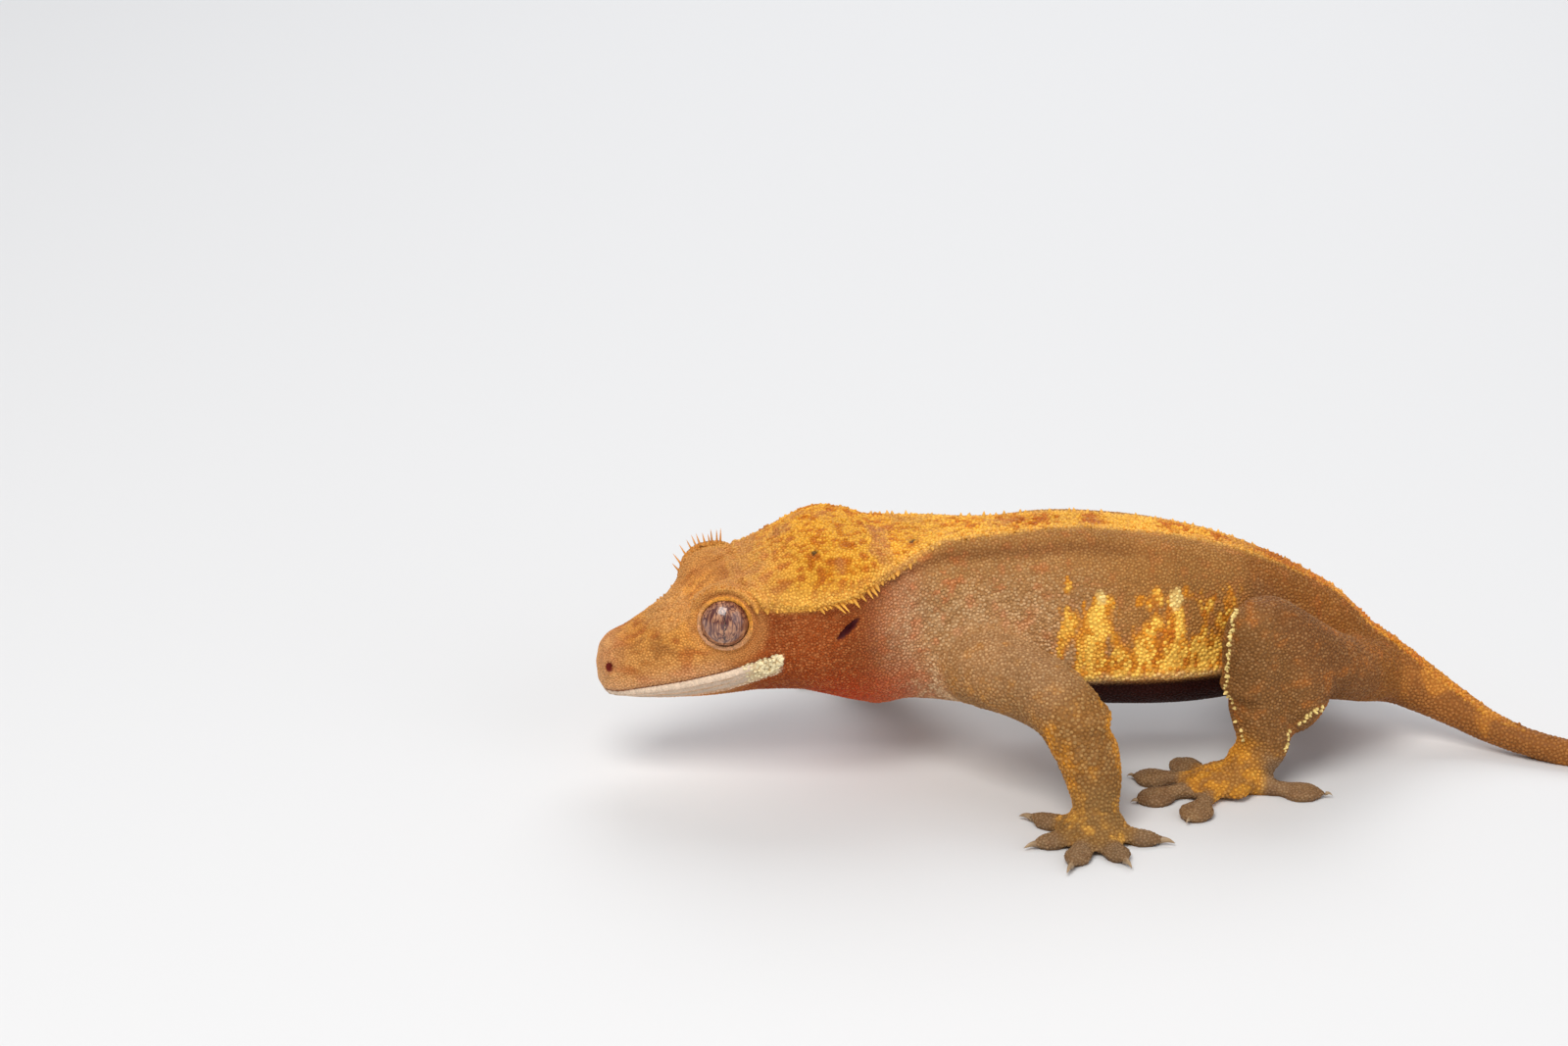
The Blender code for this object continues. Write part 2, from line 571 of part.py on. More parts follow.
def name_pieces(pieces):
    """Gives each piece the name whose inner point lies nearest to its middle."""
    if len(pieces) != len(PIECES):
        raise SystemExit(f"the cuts gave {len(pieces)} pieces, not {len(PIECES)}")
    left = list(pieces)
    for name, inside in PIECES.items():
        nearest = min(left, key=lambda piece: np.linalg.norm(middle_of(piece) - inside))
        left.remove(nearest)
        nearest.name = name


def material_of(name):
    """The piece's own material: glossy mauve for an eye, dull orange and brown for skin."""
    made = bpy.data.materials.new(name)
    made.use_nodes = True
    shader = made.node_tree.nodes["Principled BSDF"]
    base, roughness = next(look for start, look in LOOKS.items() if name.startswith(start))
    shader.inputs["Base Color"].default_value = (*base, 1)
    shader.inputs["Roughness"].default_value = roughness
    shader.inputs["Metallic"].default_value = 0.0
    return made


def stand_at_origin(pieces):
    """Puts the origin under the middle of the animal, on the ground, and hangs every piece on one empty."""
    points = np.concatenate([[vertex.co for vertex in piece.data.vertices] for piece in pieces])
    low, high = points.min(axis=0), points.max(axis=0)
    centre = np.array([(low[0] + high[0]) / 2, (low[1] + high[1]) / 2, low[2]])
    animal = bpy.data.objects.new("crested_gecko", None)
    collection = bpy.data.collections.new("Crested gecko")
    bpy.context.scene.collection.children.link(collection)
    collection.objects.link(animal)
    for piece in pieces:
        middle = middle_of(piece) * MM
        piece.data.transform(Matrix.Translation(-middle))
        piece.location = middle - centre
        piece.parent = animal
        piece.data.materials.append(material_of(piece.name))
        piece.data.shade_smooth()
        piece.data.set_sharp_from_angle(angle=math.radians(SHARP_ANGLE_DEG))
        bpy.context.scene.collection.objects.unlink(piece)
        collection.objects.link(piece)


def main():
    for old in list(bpy.data.objects):
        bpy.data.objects.remove(old)
    bpy.context.scene.collection.children.link(cutters_collection())
    shapes = [body_loft(), tube("tail", TAIL), ellipsoid("tail_pad", *TAIL_PAD)]
    for name, plan in LEGS.items():
        shapes += leg(name, plan)
    skin = parted(fused_skin(shapes))
    name_pieces([thinned(piece) for piece in loose_pieces(skin)])
    for name, centre in eye_centres().items():
        ball(name, centre, EYE_RADIUS)
    stand_at_origin([item for item in bpy.data.objects if item.type == "MESH"])


main()
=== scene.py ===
"""The looks of the crested gecko: one skin over the solids of flesh, with its scales, spines, claws and eyes.

Places are in millimetres on the straight body: the frame of the model before the neck turned the head, with
the snout at -X, the left side at -Y and the floor at Z = 0. The function posed turns them with the head, and
in_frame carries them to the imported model's own frame, in metres.
"""

import itertools
import json
import math

import bmesh
import bpy
import numpy as np
from mathutils import Matrix, Vector
from mathutils.bvhtree import BVHTree

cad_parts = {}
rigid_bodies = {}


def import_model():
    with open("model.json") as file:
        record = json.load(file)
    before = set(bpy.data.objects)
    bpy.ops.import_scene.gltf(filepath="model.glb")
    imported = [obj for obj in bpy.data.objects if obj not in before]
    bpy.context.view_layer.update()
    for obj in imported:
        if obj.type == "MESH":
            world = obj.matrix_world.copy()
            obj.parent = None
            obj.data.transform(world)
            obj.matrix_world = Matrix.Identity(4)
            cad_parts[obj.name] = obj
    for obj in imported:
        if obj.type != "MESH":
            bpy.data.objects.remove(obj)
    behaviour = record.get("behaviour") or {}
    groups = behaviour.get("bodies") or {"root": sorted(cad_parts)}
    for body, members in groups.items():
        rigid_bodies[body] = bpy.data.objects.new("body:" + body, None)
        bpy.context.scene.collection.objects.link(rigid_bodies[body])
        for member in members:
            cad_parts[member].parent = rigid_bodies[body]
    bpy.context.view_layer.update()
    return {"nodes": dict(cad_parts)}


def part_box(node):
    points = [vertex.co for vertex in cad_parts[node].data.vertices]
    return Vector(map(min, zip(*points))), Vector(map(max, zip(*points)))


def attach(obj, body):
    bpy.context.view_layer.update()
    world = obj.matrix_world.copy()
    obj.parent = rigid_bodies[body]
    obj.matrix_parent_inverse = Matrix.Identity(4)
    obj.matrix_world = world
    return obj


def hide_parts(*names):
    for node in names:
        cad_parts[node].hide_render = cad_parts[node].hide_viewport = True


MM = 0.001
SEED = 11
RANDOM = np.random.default_rng(SEED)
SIDES = (-1, 1)

# Head carriage, as in the solids
HEAD_YAW_DEG = 3.0
HEAD_ROLL_DEG = 5.0
HEAD_PIVOT = np.array((-24.0, 0.0, 21.0))
NECK_TURN_X = (-16.0, -31.0)

# Skin
SWELL = 0.25
VOXEL = 0.47
RELAX_STEPS = (0.5, -0.53)
RELAX_PASSES = 14
LAST_RELAX_PASSES = 3
LAST_RELAX_AMOUNT = 0.8
FIRST_BORDER_PASSES = 6
BORDER_PASSES = 26
COAT_DEPTH = 0.12
LEAST_HEIGHT = 0.03
SOLE_HEIGHT = 0.32
# The skin between the scales darker and warmer: its own orange, with painted shade in the gaps
SKIN_TINT_AND_SHADE = (0.82, 0.74, 0.66)
FINE_EYE_REACH = 6.0
FINE_MOUTH_REACH = 1.3
FINE_EAR_REACH = 1.2
FINE_NOSTRIL_REACH = 1.6

# Eye, and the lip round it: its reach from the eye's axis, its thickness and how far out it lies
EYE_PLACE = (-46.3, 6.0, 23.8)
EYE_AXIS = (-0.2, 1.0, 0.12)
EYE_RADIUS = 3.52
EYE_SEGMENTS = (96, 64)
LID_REACH, LID_THICK, LID_OUT = 3.36, 0.58, 1.62
LID_CORNERS = (56, 12)
LID_INSET = 0.22
LID_SCALE_HEIGHT = 0.14
# Rows of scales on the lip, as (angle round its thickness, count, size)
LID_ROWS = [(2.6, 80, 0.17), (2.1, 74, 0.2), (1.5, 70, 0.22), (0.9, 70, 0.24)]

# Openings of the face, and how deep the pale lip is, as (x, depth)
MOUTH_LINE = np.array([(-64.0, 12.4), (-61.0, 12.7), (-58.8, 13.4), (-56.0, 14.3), (-51.6, 15.5),
                       (-46.7, 17.2), (-43.1, 18.8), (-40.4, 20.0)])
LIP_DEPTH = np.array([(-63.0, 1.2), (-58.0, 2.4), (-52.0, 3.0), (-46.0, 3.0), (-41.0, 2.4)])
NOSTRIL = (-61.0, 3.4, 16.5)
NOSTRIL_SIZE = (0.5, 0.72)
EAR_SLIT = [(-32.5, 22.6), (-29.9, 25.2)]
EAR_WIDTH = 0.56
FAR_OFF = 99.0

# The crest's edge, as (x, half width, height), and the tail's bend aside, as (x, y)
CREST_LINE = np.array([(-53.0, 4.6, 22.2), (-51.0, 5.3, 24.6), (-49.6, 5.9, 27.4), (-47.5, 6.4, 29.0),
                       (-45.5, 6.8, 28.9), (-43.0, 8.6, 27.4), (-39.5, 10.3, 27.1), (-36.0, 11.7, 27.6),
                       (-33.0, 12.8, 28.3), (-31.0, 12.6, 28.8), (-28.5, 11.0, 29.6), (-26.0, 9.3, 30.2),
                       (-22.0, 7.3, 31.2), (-17.0, 4.3, 31.9), (-11.0, 3.0, 31.8), (0.0, 2.5, 32.2),
                       (8.0, 2.5, 31.5), (16.0, 2.2, 30.0), (23.0, 1.8, 28.0), (31.0, 1.5, 24.2),
                       (37.0, 1.3, 20.5), (42.0, 1.2, 15.0), (47.0, 1.1, 11.2), (52.0, 1.0, 7.6),
                       (57.0, 0.9, 4.6), (63.0, 0.8, 3.1)])
TAIL_MIDDLE = np.array([(36.0, 0.0), (42.0, -0.6), (47.0, -2.2), (52.0, -4.6), (57.0, -8.4), (63.0, -12.8)])
FRINGE_X = (-44.0, 56.0)
LASH_X = (-50.7, -44.6)
LASHES = 11

# Feet, as the palm's place and the toe tips, and claws, as (length, radius)
FEET = {
    "forefoot_left": ((-1.4, -29.8), [(-9.2, -23.4), (-10.2, -32.6), (-6.6, -40.2), (1.2, -39.6),
                                      (7.6, -33.4)]),
    "forefoot_right": ((-25.0, 28.0), [(-31.8, 24.6), (-36.0, 30.4), (-33.4, 37.2), (-25.4, 38.8),
                                       (-17.6, 34.6)]),
    "hindfoot_left": ((18.0, -17.4), [(13.6, -8.0), (6.8, -12.2), (5.6, -20.4), (11.2, -27.6),
                                     (31.4, -21.4)]),
    "hindfoot_right": ((30.8, 25.0), [(22.4, 19.6), (18.6, 26.8), (22.2, 34.4), (30.0, 36.4),
                                     (41.4, 30.6)]),
}
TOE_START = (4.4, 6.4)
FOOT_REACH = 18
FORE_CLAW = (2.1, 0.5)
HIND_CLAW = (0.95, 0.26)
CLAW_RINGS = 7
CLAW_CORNERS = 10
CLAW_ROOT = 0.62

# Groups of solids, as (nodes, ground colour, distance between scales)
GROUPS = {
    "head": (["head", "lower_jaw"], (186, 124, 60), 0.32),
    "neck": (["neck"], (198, 144, 100), 0.36),
    "trunk": (["chest", "belly"], (168, 118, 61), 0.385),
    "hips": (["pelvis"], (144, 90, 36), 0.40),
    "tail": (["tail_base", "tail_middle", "tail_tip"], (156, 100, 48), 0.43),
    "arm": (["upper_arm_left", "upper_arm_right"], (156, 114, 70), 0.40),
    "forearm": (["forearm_left", "forearm_right"], (142, 98, 48), 0.48),
    "forefoot": (["forefoot_left", "forefoot_right"], (152, 114, 64), 0.45),
    "thigh": (["thigh_left", "thigh_right"], (134, 88, 46), 0.41),
    "shin": (["shin_left", "shin_right"], (134, 92, 48), 0.41),
    "hindfoot": (["hindfoot_left", "hindfoot_right"], (170, 120, 58), 0.44),
}
GROUP_INDEX = {name: index for index, name in enumerate(GROUPS)}
KNOBBY = ("arm", "forearm", "forefoot", "thigh", "shin", "hindfoot")

# Display colours of the markings, and of painted shade in "belly", "nostril", "ear" and "ridge shade"
TONES = {
    "snout pale": (212, 152, 82), "snout rust": (182, 104, 42), "snout gold": (220, 152, 66),
    "muzzle": (206, 156, 112), "nose": (212, 164, 118), "chin": (214, 166, 130), "cheek": (146, 62, 15),
    "cheek tip highlight": (206, 138, 80), "throat": (198, 62, 12), "lid": (204, 144, 80), "lid pink": (204, 150, 108),
    "lid gold": (218, 148, 60), "lash": (214, 146, 66), "lip": (232, 206, 180), "lip bar": (214, 170, 130),
    "lip cream": (236, 222, 182), "mouth knob": (240, 222, 178), "mouth line": (134, 84, 74),
    # "ear" and "nostril" are painted shade inside the openings
    "ear": (84, 26, 30), "nostril": (112, 30, 22), "dark speck": (50, 40, 32),
    "gold": (206, 128, 22), "pale gold": (238, 178, 60), "burnt": (184, 98, 28), "forehead": (212, 156, 92),
    "brow": (178, 122, 68), "dusk": (190, 132, 76), "crest edge": (246, 190, 90), "spine": (236, 170, 66),
    "band pale": (242, 185, 76), "band rust": (190, 100, 26), "rump": (200, 118, 40),
    "neck pale": (238, 208, 166), "flank light": (190, 142, 86), "flank dark": (134, 84, 42),
    "red speck": (204, 92, 32), "ridge shade": (120, 70, 34), "flame": (216, 140, 36),
    "flame pale": (250, 202, 90), "flame rust": (186, 102, 28), "cream": (255, 226, 144),
    # "belly" is painted shade: near black below the fold, where the body curves under out of the light
    "fold rim": (246, 204, 132), "belly": (48, 12, 5), "underside": (168, 112, 72),
    "tail gold": (206, 136, 54), "arm gold": (212, 142, 38), "arm patch": (206, 138, 42),
    "arm dot": (190, 154, 100), "shoulder": (206, 164, 124), "leg rust": (186, 112, 44),
    "leg dot": (172, 130, 84), "forefoot gold": (196, 140, 60), "hindfoot gold": (208, 144, 46),
    "foot pale": (236, 182, 84), "toe": (138, 110, 80), "toe dark": (122, 90, 62), "claw": (172, 144, 108),
    "claw dark": (140, 112, 82), "iris mauve": (152, 98, 70), "iris tan": (195, 139, 101),
    "iris line": (88, 36, 30), "pupil": (24, 10, 10),
}

# Where markings, painted shade and folds fade in: (start, end) along the body, in height or out from its
# middle
ZONES = {
    "snout": [("x", -44, -50)], "snout top": [("z", 17.5, 21)], "muzzle": [("x", -44, -48)],
    "nose": [("x", -57.5, -62.5)], "nose tip": [("x", -54, -58)], "chin": [("x", -38, -44), ("z", 13, 11.4)],
    "cheek": [("x", -48, -41), ("x", -17, -29)], "low cheek": [("z", 27, 12)],
    "throat": [("x", -38, -30), ("x", -14, -25), ("z", 20, 11)], "mouth": [("x", -38.5, -40.5)],
    "lip": [("x", -39.2, -40.4)], "lip cream": [("x", -45.5, -42)], "mouth line": [("x", -39, -40.5)],
    "hollow": [("out", 3, 5)], "crown": [("x", -52, -45), ("x", 62, 52)], "forehead": [("x", -35, -44)],
    "brow": [("z", 25, 27)], "crest edge": [("x", -50, -44), ("x", 34, 20)], "band": [("x", -24, -16)],
    "rump": [("x", 16, 28)], "ridge": [("x", -31, -27), ("x", 20, 0)], "flank": [("x", -33, -22)],
    "red speck": [("x", 5, -15)], "red neck": [("x", -17, -24), ("z", 22, 15)],
    "pale neck": [("x", 10, -8), ("x", -32, -22), ("z", 33, 22)], "low neck": [("z", 20, 13)],
    "flame side": [("out", 6, 8)], "flame foot": [("x", -2, 5), ("x", 25, 17), ("z", 20.5, 16)],
    "fold": [("x", -5, -1), ("x", 23, 20), ("out", 7, 9)], "fold rim": [("x", -1, 3), ("x", 23, 19)],
    "ripples": [("x", -24, -16), ("out", 6.5, 8)], "belly": [("x", -6, 0), ("x", 28, 24)],
    "flat belly": [("z", 10, 8)], "underside": [("z", 12, 9.5), ("out", 6.5, 3.5)],
    "shoulder": [("x", 0, -8), ("z", 12, 20)], "head crest": [("x", -14, -24)],
    "crown corner": [("x", -37.5, -32.5), ("x", -26, -29.5)], "nape": [("x", -29.5, -26), ("x", -8, -14)],
    "rear crest": [("x", 0, 30)],
}

# Flank flames, as (x at top, height at top, x at bottom, half width, strength)
FLAMES = [(-2.2, 27.4, -0.9, 1.3, 0.62), (2.8, 25.4, 0.8, 1.7, 0.85), (10.6, 26.0, 7.0, 1.5, 0.75),
          (13.0, 25.4, 9.6, 1.9, 0.95), (17.2, 25.0, 15.6, 1.1, 0.75), (20.0, 26.4, 18.4, 1.3, 0.75)]
# Cream spots, as (x, height, size), and dark specks, as (x, y, height, size)
CREAM_SPOTS = [(2.7, 24.6, 0.8), (12.8, 24.0, 1.0)]
DARK_SPECKS = [(-34.9, -6.0, 32.5, 0.65), (-21.2, -4.1, 31.6, 0.6), (-41.5, 1.5, 29.5, 0.35)]
# The fold along the belly, and the wrinkles round the shoulder: how far apart, and how far from it
FOLD_HEIGHT = 14.2
SHOULDER = (-9.0, 16.0)
WRINKLE = 1.5
WRINKLE_REACH = 8.5

# Shapes of scale, as rings of (reach, rise, tint) that end in the tip; the tints are partly painted light
# Each base is darker and warmer, for the orange skin between scales with painted shade in the gaps, and each
# tip lighter, a painted highlight
TIP_HIGHLIGHT = (1.16, 1.18, 1.2)
GRANULE = [(1.0, -0.35, (0.78, 0.66, 0.52)), (0.8, 0.55, (1.0, 1.0, 1.0)), (0.0, 1.0, TIP_HIGHLIGHT)]
KNOB = [(1.0, -0.35, (0.56, 0.42, 0.3)), (0.72, 0.6, (1.06, 1.05, 1.04)), (0.0, 1.0, TIP_HIGHLIGHT)]
PLATE = [(1.0, -1.5, (0.985, 0.97, 0.96)), (0.86, 0.8, (1.0, 1.0, 1.0)), (0.0, 1.0, (1.0, 1.0, 1.0))]
SPINE = [(1.0, -0.15, (0.72, 0.6, 0.45)), (0.62, 0.4, (0.95, 0.95, 0.95)), (0.3, 0.78, (1.05, 1.05, 1.1)),
         (0.0, 1.0, TIP_HIGHLIGHT)]
SCALE_CORNERS = 6
# How the scales are spread: random candidates for each that stays, and the grid that finds neighbours
COAT_PIECE_SCALES = 10800
CANDIDATES = 9
GRID_CELLS = 2048
BAKE_PATCH = 0.003

# Rows of lip plates, as (share of the lip's depth, half height as a share of it)
LIP_ROWS = [(0.18, 0.18), (0.52, 0.17), (0.85, 0.16)]
LIP_START = 2.6
LIP_END = 3.4
LIP_PLATE_HEIGHT = 0.035
MOUTH_KNOBS = 90

# Rows of pale pointed scales on the left leg: places to pass by, the way they point, the share left out
PIN_ROWS = [
    ([(19.2, -15.0, 25.2), (18.2, -17.2, 22.5), (17.8, -17.8, 19.0), (18.0, -17.2, 15.0), (19.4, -17.6, 10.5),
      (20.0, -18.6, 6.5)], (-0.9, -0.5, 0.0), 0.6),
    ([(27.0, -19.6, 5.6), (27.6, -19.0, 8.0), (29.6, -18.0, 10.6), (31.2, -16.4, 10.8)],
     (0.6, -0.7, -0.4), 0.1),
]
PIN_PITCH = 0.28
KNEE_HEIGHT = 13
PINS_LEFT_OUT = 0.1

# Camera: turned from the side view, raised, and set so that a point over the chest meets its picture place
CAMERA_AZIMUTH_DEG = -7.0
CAMERA_HEIGHT_DEG = 20.0
CAMERA_LENS = 95.0
CAMERA_SENSOR = 36.0
CAMERA_DISTANCE = 0.55
CAMERA_MARK = (0.0, 0.0, 12.0)
CAMERA_MARK_PX = (1085, 676)
PICTURE = (1600, 1067)

# Floor, sky and lights, as (place, target, size, power, colour), in metres
FLOOR_SIZE = 6.0
FLOOR_COLOUR = (0.76, 0.765, 0.775, 1.0)
SKY_COLOUR = (0.93, 0.95, 1.0, 1.0)
SKY_STRENGTH = 0.35
LIGHTS = {
    "key": ((-0.30, -0.45, 0.75), (-0.02, 0, 0.015), 0.5, 5.9, (1.0, 0.97, 0.92)),
    "fill": ((0.55, -0.6, 0.35), (0, 0, 0.015), 0.7, 1.9, (0.97, 0.98, 1.0)),
    "back": ((0.1, 0.6, 0.6), (0, 0, 0.015), 0.6, 3.0, (1.0, 1.0, 1.0)),
}


def ramp(value, start, end):
    """0 before the start and 1 past the end, with a smooth rise between."""
    t = np.clip((value - start) / (end - start), 0.0, 1.0)
    return t * t * (3 - 2 * t)


def hill(value, width):
    return np.exp(-((value / width) ** 2))


def between(low, high, size=None):
    return low + (high - low) * RANDOM.random(size)


def neck_turns(x):
    share = ramp(x, *NECK_TURN_X)
    return np.radians(HEAD_YAW_DEG) * share, np.radians(HEAD_ROLL_DEG) * share


def turned(points, yaw, roll):
    x, y, z = points.T
    y, z = y * np.cos(roll) - z * np.sin(roll), y * np.sin(roll) + z * np.cos(roll)
    return np.stack([x * np.cos(yaw) - y * np.sin(yaw), x * np.sin(yaw) + y * np.cos(yaw), z], axis=1)


def turned_back(points, yaw, roll):
    x, y, z = points.T
    x, y = x * np.cos(yaw) + y * np.sin(yaw), -x * np.sin(yaw) + y * np.cos(yaw)
    return np.stack([x, y * np.cos(roll) + z * np.sin(roll), -y * np.sin(roll) + z * np.cos(roll)], axis=1)


def posed(points):
    """Places on the straight body, turned with the head."""
    points = np.atleast_2d(np.asarray(points, float))
    return HEAD_PIVOT + turned(points - HEAD_PIVOT, *neck_turns(points[:, 0]))


def straightened(points):
    """The places on the straight body that the head's turn carries to these points."""
    places = points
    for _ in range(6):
        places = HEAD_PIVOT + turned_back(points - HEAD_PIVOT, *neck_turns(places[:, 0]))
    return places


def posed_way(place, way):
    """A direction at a place on the straight body, turned with the head."""
    way = np.asarray(way, float) / np.linalg.norm(way)
    ends = posed([np.asarray(place, float), np.asarray(place, float) + 0.01 * way])
    return (ends[1] - ends[0]) / np.linalg.norm(ends[1] - ends[0])


def body_origin():
    """Where the straight body's own origin lies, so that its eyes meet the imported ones."""
    low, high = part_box("eye_left")
    middle = np.array((low + high) / 2) / MM
    shift = posed([eye_centre(-1)])[0] - middle
    shift[2] = 0.0
    return shift


def in_frame(points):
    return (np.asarray(points) - ORIGIN) * MM


def lattice(i, j, k, seed):
    """A number from 0 to 1 that looks random, the same each time for one corner of a grid."""
    n = (i * 374761393 + j * 668265263 + k * 2147483629 + seed * 1274126177) & 0xFFFFFFFF
    n = ((n ^ (n >> 13)) * 1274126177) & 0xFFFFFFFF
    return ((n ^ (n >> 16)) & 0xFFFF) / 65535.0


def noise(points, size, seed):
    """Smooth noise from 0 to 1 whose blobs are about one size across, in mm."""
    at = np.asarray(points) / size + 1000.0
    cell = np.floor(at).astype(np.int64)
    t = at - cell
    t = t * t * (3 - 2 * t)
    total = 0.0
    for corner in itertools.product((0, 1), repeat=3):
        weight = np.prod(np.where(corner, t, 1 - t), axis=1)
        total = total + weight * lattice(*(cell + corner).T, seed)
    return total


def zone(places, name):
    """1 inside a zone and 0 outside it, with the fades that ZONES gives."""
    values = {"x": places[..., 0], "z": places[..., 2], "out": np.abs(places[..., 1])}
    return math.prod(ramp(values[axis], start, end) for axis, start, end in ZONES[name])


def line_distance(places, line):
    """Distance in side view from a line of (x, height), and the height above it."""
    x, _, z = places.T
    best = np.full(len(x), 1e9)
    above = np.zeros(len(x))
    for (x0, z0), (x1, z1) in zip(line[:-1], line[1:]):
        run = np.hypot(x1 - x0, z1 - z0)
        wx, wz = (x1 - x0) / run, (z1 - z0) / run
        along = np.clip((x - x0) * wx + (z - z0) * wz, 0, run)
        dx, dz = x - x0 - along * wx, z - z0 - along * wz
        away = np.hypot(dx, dz)
        nearer = away < best
        best = np.where(nearer, away, best)
        above = np.where(nearer, dz * wx - dx * wz, above)
    return best, above


def crest_at(x):
    """Half width and height of the crest's edge at x."""
    return np.interp(x, CREST_LINE[:, 0], CREST_LINE[:, 1]), np.interp(x, CREST_LINE[:, 0], CREST_LINE[:, 2])


def tail_middle(x):
    """How far the tail's middle line lies aside of the body's at x."""
    return np.interp(x, *TAIL_MIDDLE.T)


def lip_depth(x):
    """How far the pale lip reaches below the mouth line at x."""
    return np.interp(x, *LIP_DEPTH.T)


def eye_centre(side):
    return np.array((EYE_PLACE[0], side * EYE_PLACE[1], EYE_PLACE[2]))


def eye_axis(side):
    axis = np.array((EYE_AXIS[0], side * EYE_AXIS[1], EYE_AXIS[2]))
    return axis / np.linalg.norm(axis)


def eye_reach(places):
    """Distance from the eye's centre in side view."""
    return np.hypot(places[:, 0] - EYE_PLACE[0], places[:, 2] - EYE_PLACE[2])


def from_eye(places, side):
    """How far out along the eye's axis each place lies, and its offset from that axis."""
    offset = places - eye_centre(side)
    out = offset @ eye_axis(side)
    return out, offset - out[:, None] * eye_axis(side)


def frame_round(axis):
    """Two directions square to an axis: one across and one that points up."""
    up = np.array((0.0, 0.0, 1.0)) - axis * axis[2]
    up = up / np.linalg.norm(up)
    return np.cross(up, axis), up


def circle(count):
    return np.linspace(0, 2 * math.pi, count, endpoint=False)


def link(obj):
    bpy.context.scene.collection.objects.link(obj)
    return obj


def read_array(items, name, width, kind=np.float32):
    """One attribute of many items, as rows of so many numbers."""
    values = np.empty(len(items) * width, kind)
    items.foreach_get(name, values)
    return values.reshape(-1, width)


def write_array(items, name, values, kind=np.float32):
    items.foreach_set(name, np.asarray(values, kind).ravel())


def vertex_array(mesh):
    return read_array(mesh.vertices, "co", 3).astype(float)


def edge_array(mesh):
    return read_array(mesh.edges, "vertices", 2, np.int32)


def normal_array(mesh):
    return read_array(mesh.vertex_normals, "vector", 3).astype(float)


def triangle_array(mesh):
    mesh.calc_loop_triangles()
    return read_array(mesh.loop_triangles, "vertices", 3, np.int32)


def smooth(mesh):
    write_array(mesh.polygons, "use_smooth", np.ones(len(mesh.polygons)), bool)


def mesh_from(name, points, parts):
    """A mesh of faces given as arrays, where all the faces of one array have as many corners."""
    mesh = bpy.data.meshes.new(name)
    corners = np.concatenate([part.ravel() for part in parts])
    sizes = np.concatenate([np.full(len(part), part.shape[1]) for part in parts])
    mesh.vertices.add(len(points))
    write_array(mesh.vertices, "co", points)
    mesh.loops.add(len(corners))
    write_array(mesh.loops, "vertex_index", corners, np.int32)
    mesh.polygons.add(len(sizes))
    write_array(mesh.polygons, "loop_start", np.concatenate([[0], np.cumsum(sizes)[:-1]]), np.int32)
    smooth(mesh)
    mesh.update(calc_edges=True)
    mesh.validate()
    return mesh


def mesh_of(name, shape):
    """The bmesh as a mesh, with its faces turned outward."""
    bmesh.ops.recalc_face_normals(shape, faces=shape.faces)
    mesh = bpy.data.meshes.new(name)
    shape.to_mesh(mesh)
    shape.free()
    return mesh


def bridge(shape, first, second):
    """A band of quads between two rings of as many vertices."""
    for i in range(len(first)):
        j = (i + 1) % len(first)
        shape.faces.new((first[i], first[j], second[j], second[i]))


def lid_ring(shape, side):
    """A round lip of flesh that hugs the eyeball."""
    axis = eye_axis(side)
    across, up = frame_round(axis)
    rings = []
    for a in circle(LID_CORNERS[0]):
        way = across * math.cos(a) + up * math.sin(a)
        ring = []
        for b in circle(LID_CORNERS[1]):
            out = LID_OUT + LID_THICK * math.sin(b)
            place = eye_centre(side) + axis * out + way * (LID_REACH + LID_THICK * math.cos(b))
            ring.append(shape.verts.new(in_frame(posed([place])[0])))
        rings.append(ring)
    for first, second in zip(rings, rings[1:] + rings[:1]):
        bridge(shape, first, second)


def flesh_shell(nodes):
    """The solids of flesh, swollen so that the thin cuts between them close, with a lip round each eye."""
    shape = bmesh.new()
    for node in nodes:
        shape.from_mesh(node.data)
    bmesh.ops.remove_doubles(shape, verts=shape.verts, dist=0.001 * MM)
    shape.normal_update()
    for vertex, way in [(vertex, vertex.normal.copy()) for vertex in shape.verts]:
        vertex.co += way * SWELL * MM
    for side in SIDES:
        lid_ring(shape, side)
    return link(bpy.data.objects.new("shell", mesh_of("shell", shape)))


def keep_largest_shell(shape):
    unseen = set(shape.verts)
    shells = []
    while unseen:
        stack = [unseen.pop()]
        shell = set(stack)
        while stack:
            for edge in stack.pop().link_edges:
                for vertex in edge.verts:
                    if vertex in unseen:
                        unseen.discard(vertex)
                        shell.add(vertex)
                        stack.append(vertex)
        shells.append(shell)
    largest = max(shells, key=len)
    doomed = [vertex for shell in shells if shell is not largest for vertex in shell]
    bmesh.ops.delete(shape, geom=doomed, context="VERTS")


def melted(shell):
    """The shell as one closed mesh of small quads, without the pockets that the cuts left inside."""
    melt = shell.modifiers.new("melt", "REMESH")
    melt.mode = "VOXEL"
    melt.voxel_size = VOXEL * MM
    graph = bpy.context.evaluated_depsgraph_get()
    mesh = bpy.data.meshes.new_from_object(shell.evaluated_get(graph))
    bpy.data.objects.remove(shell)
    shape = bmesh.new()
    shape.from_mesh(mesh)
    keep_largest_shell(shape)
    shape.to_mesh(mesh)
    shape.free()
    return mesh


def averaged(values, edges, count):
    """Each vertex's mean over its neighbours."""
    total = np.empty_like(values)
    both = np.concatenate([edges, edges[:, ::-1]])
    for column in range(values.shape[1]):
        total[:, column] = np.bincount(both[:, 0], values[both[:, 1], column], minlength=count)
    return total / np.maximum(np.bincount(both[:, 0], minlength=count), 1)[:, None]


def relax(mesh, passes, amount):
    """Smooths without shrinking, as each inward pass is followed by an outward one, and gives the points."""
    points, edges = vertex_array(mesh), edge_array(mesh)
    for _ in range(passes):
        for step in RELAX_STEPS:
            points = points + (averaged(points, edges, len(points)) - points) * step * amount[:, None]
    write_array(mesh.vertices, "co", points)
    return points


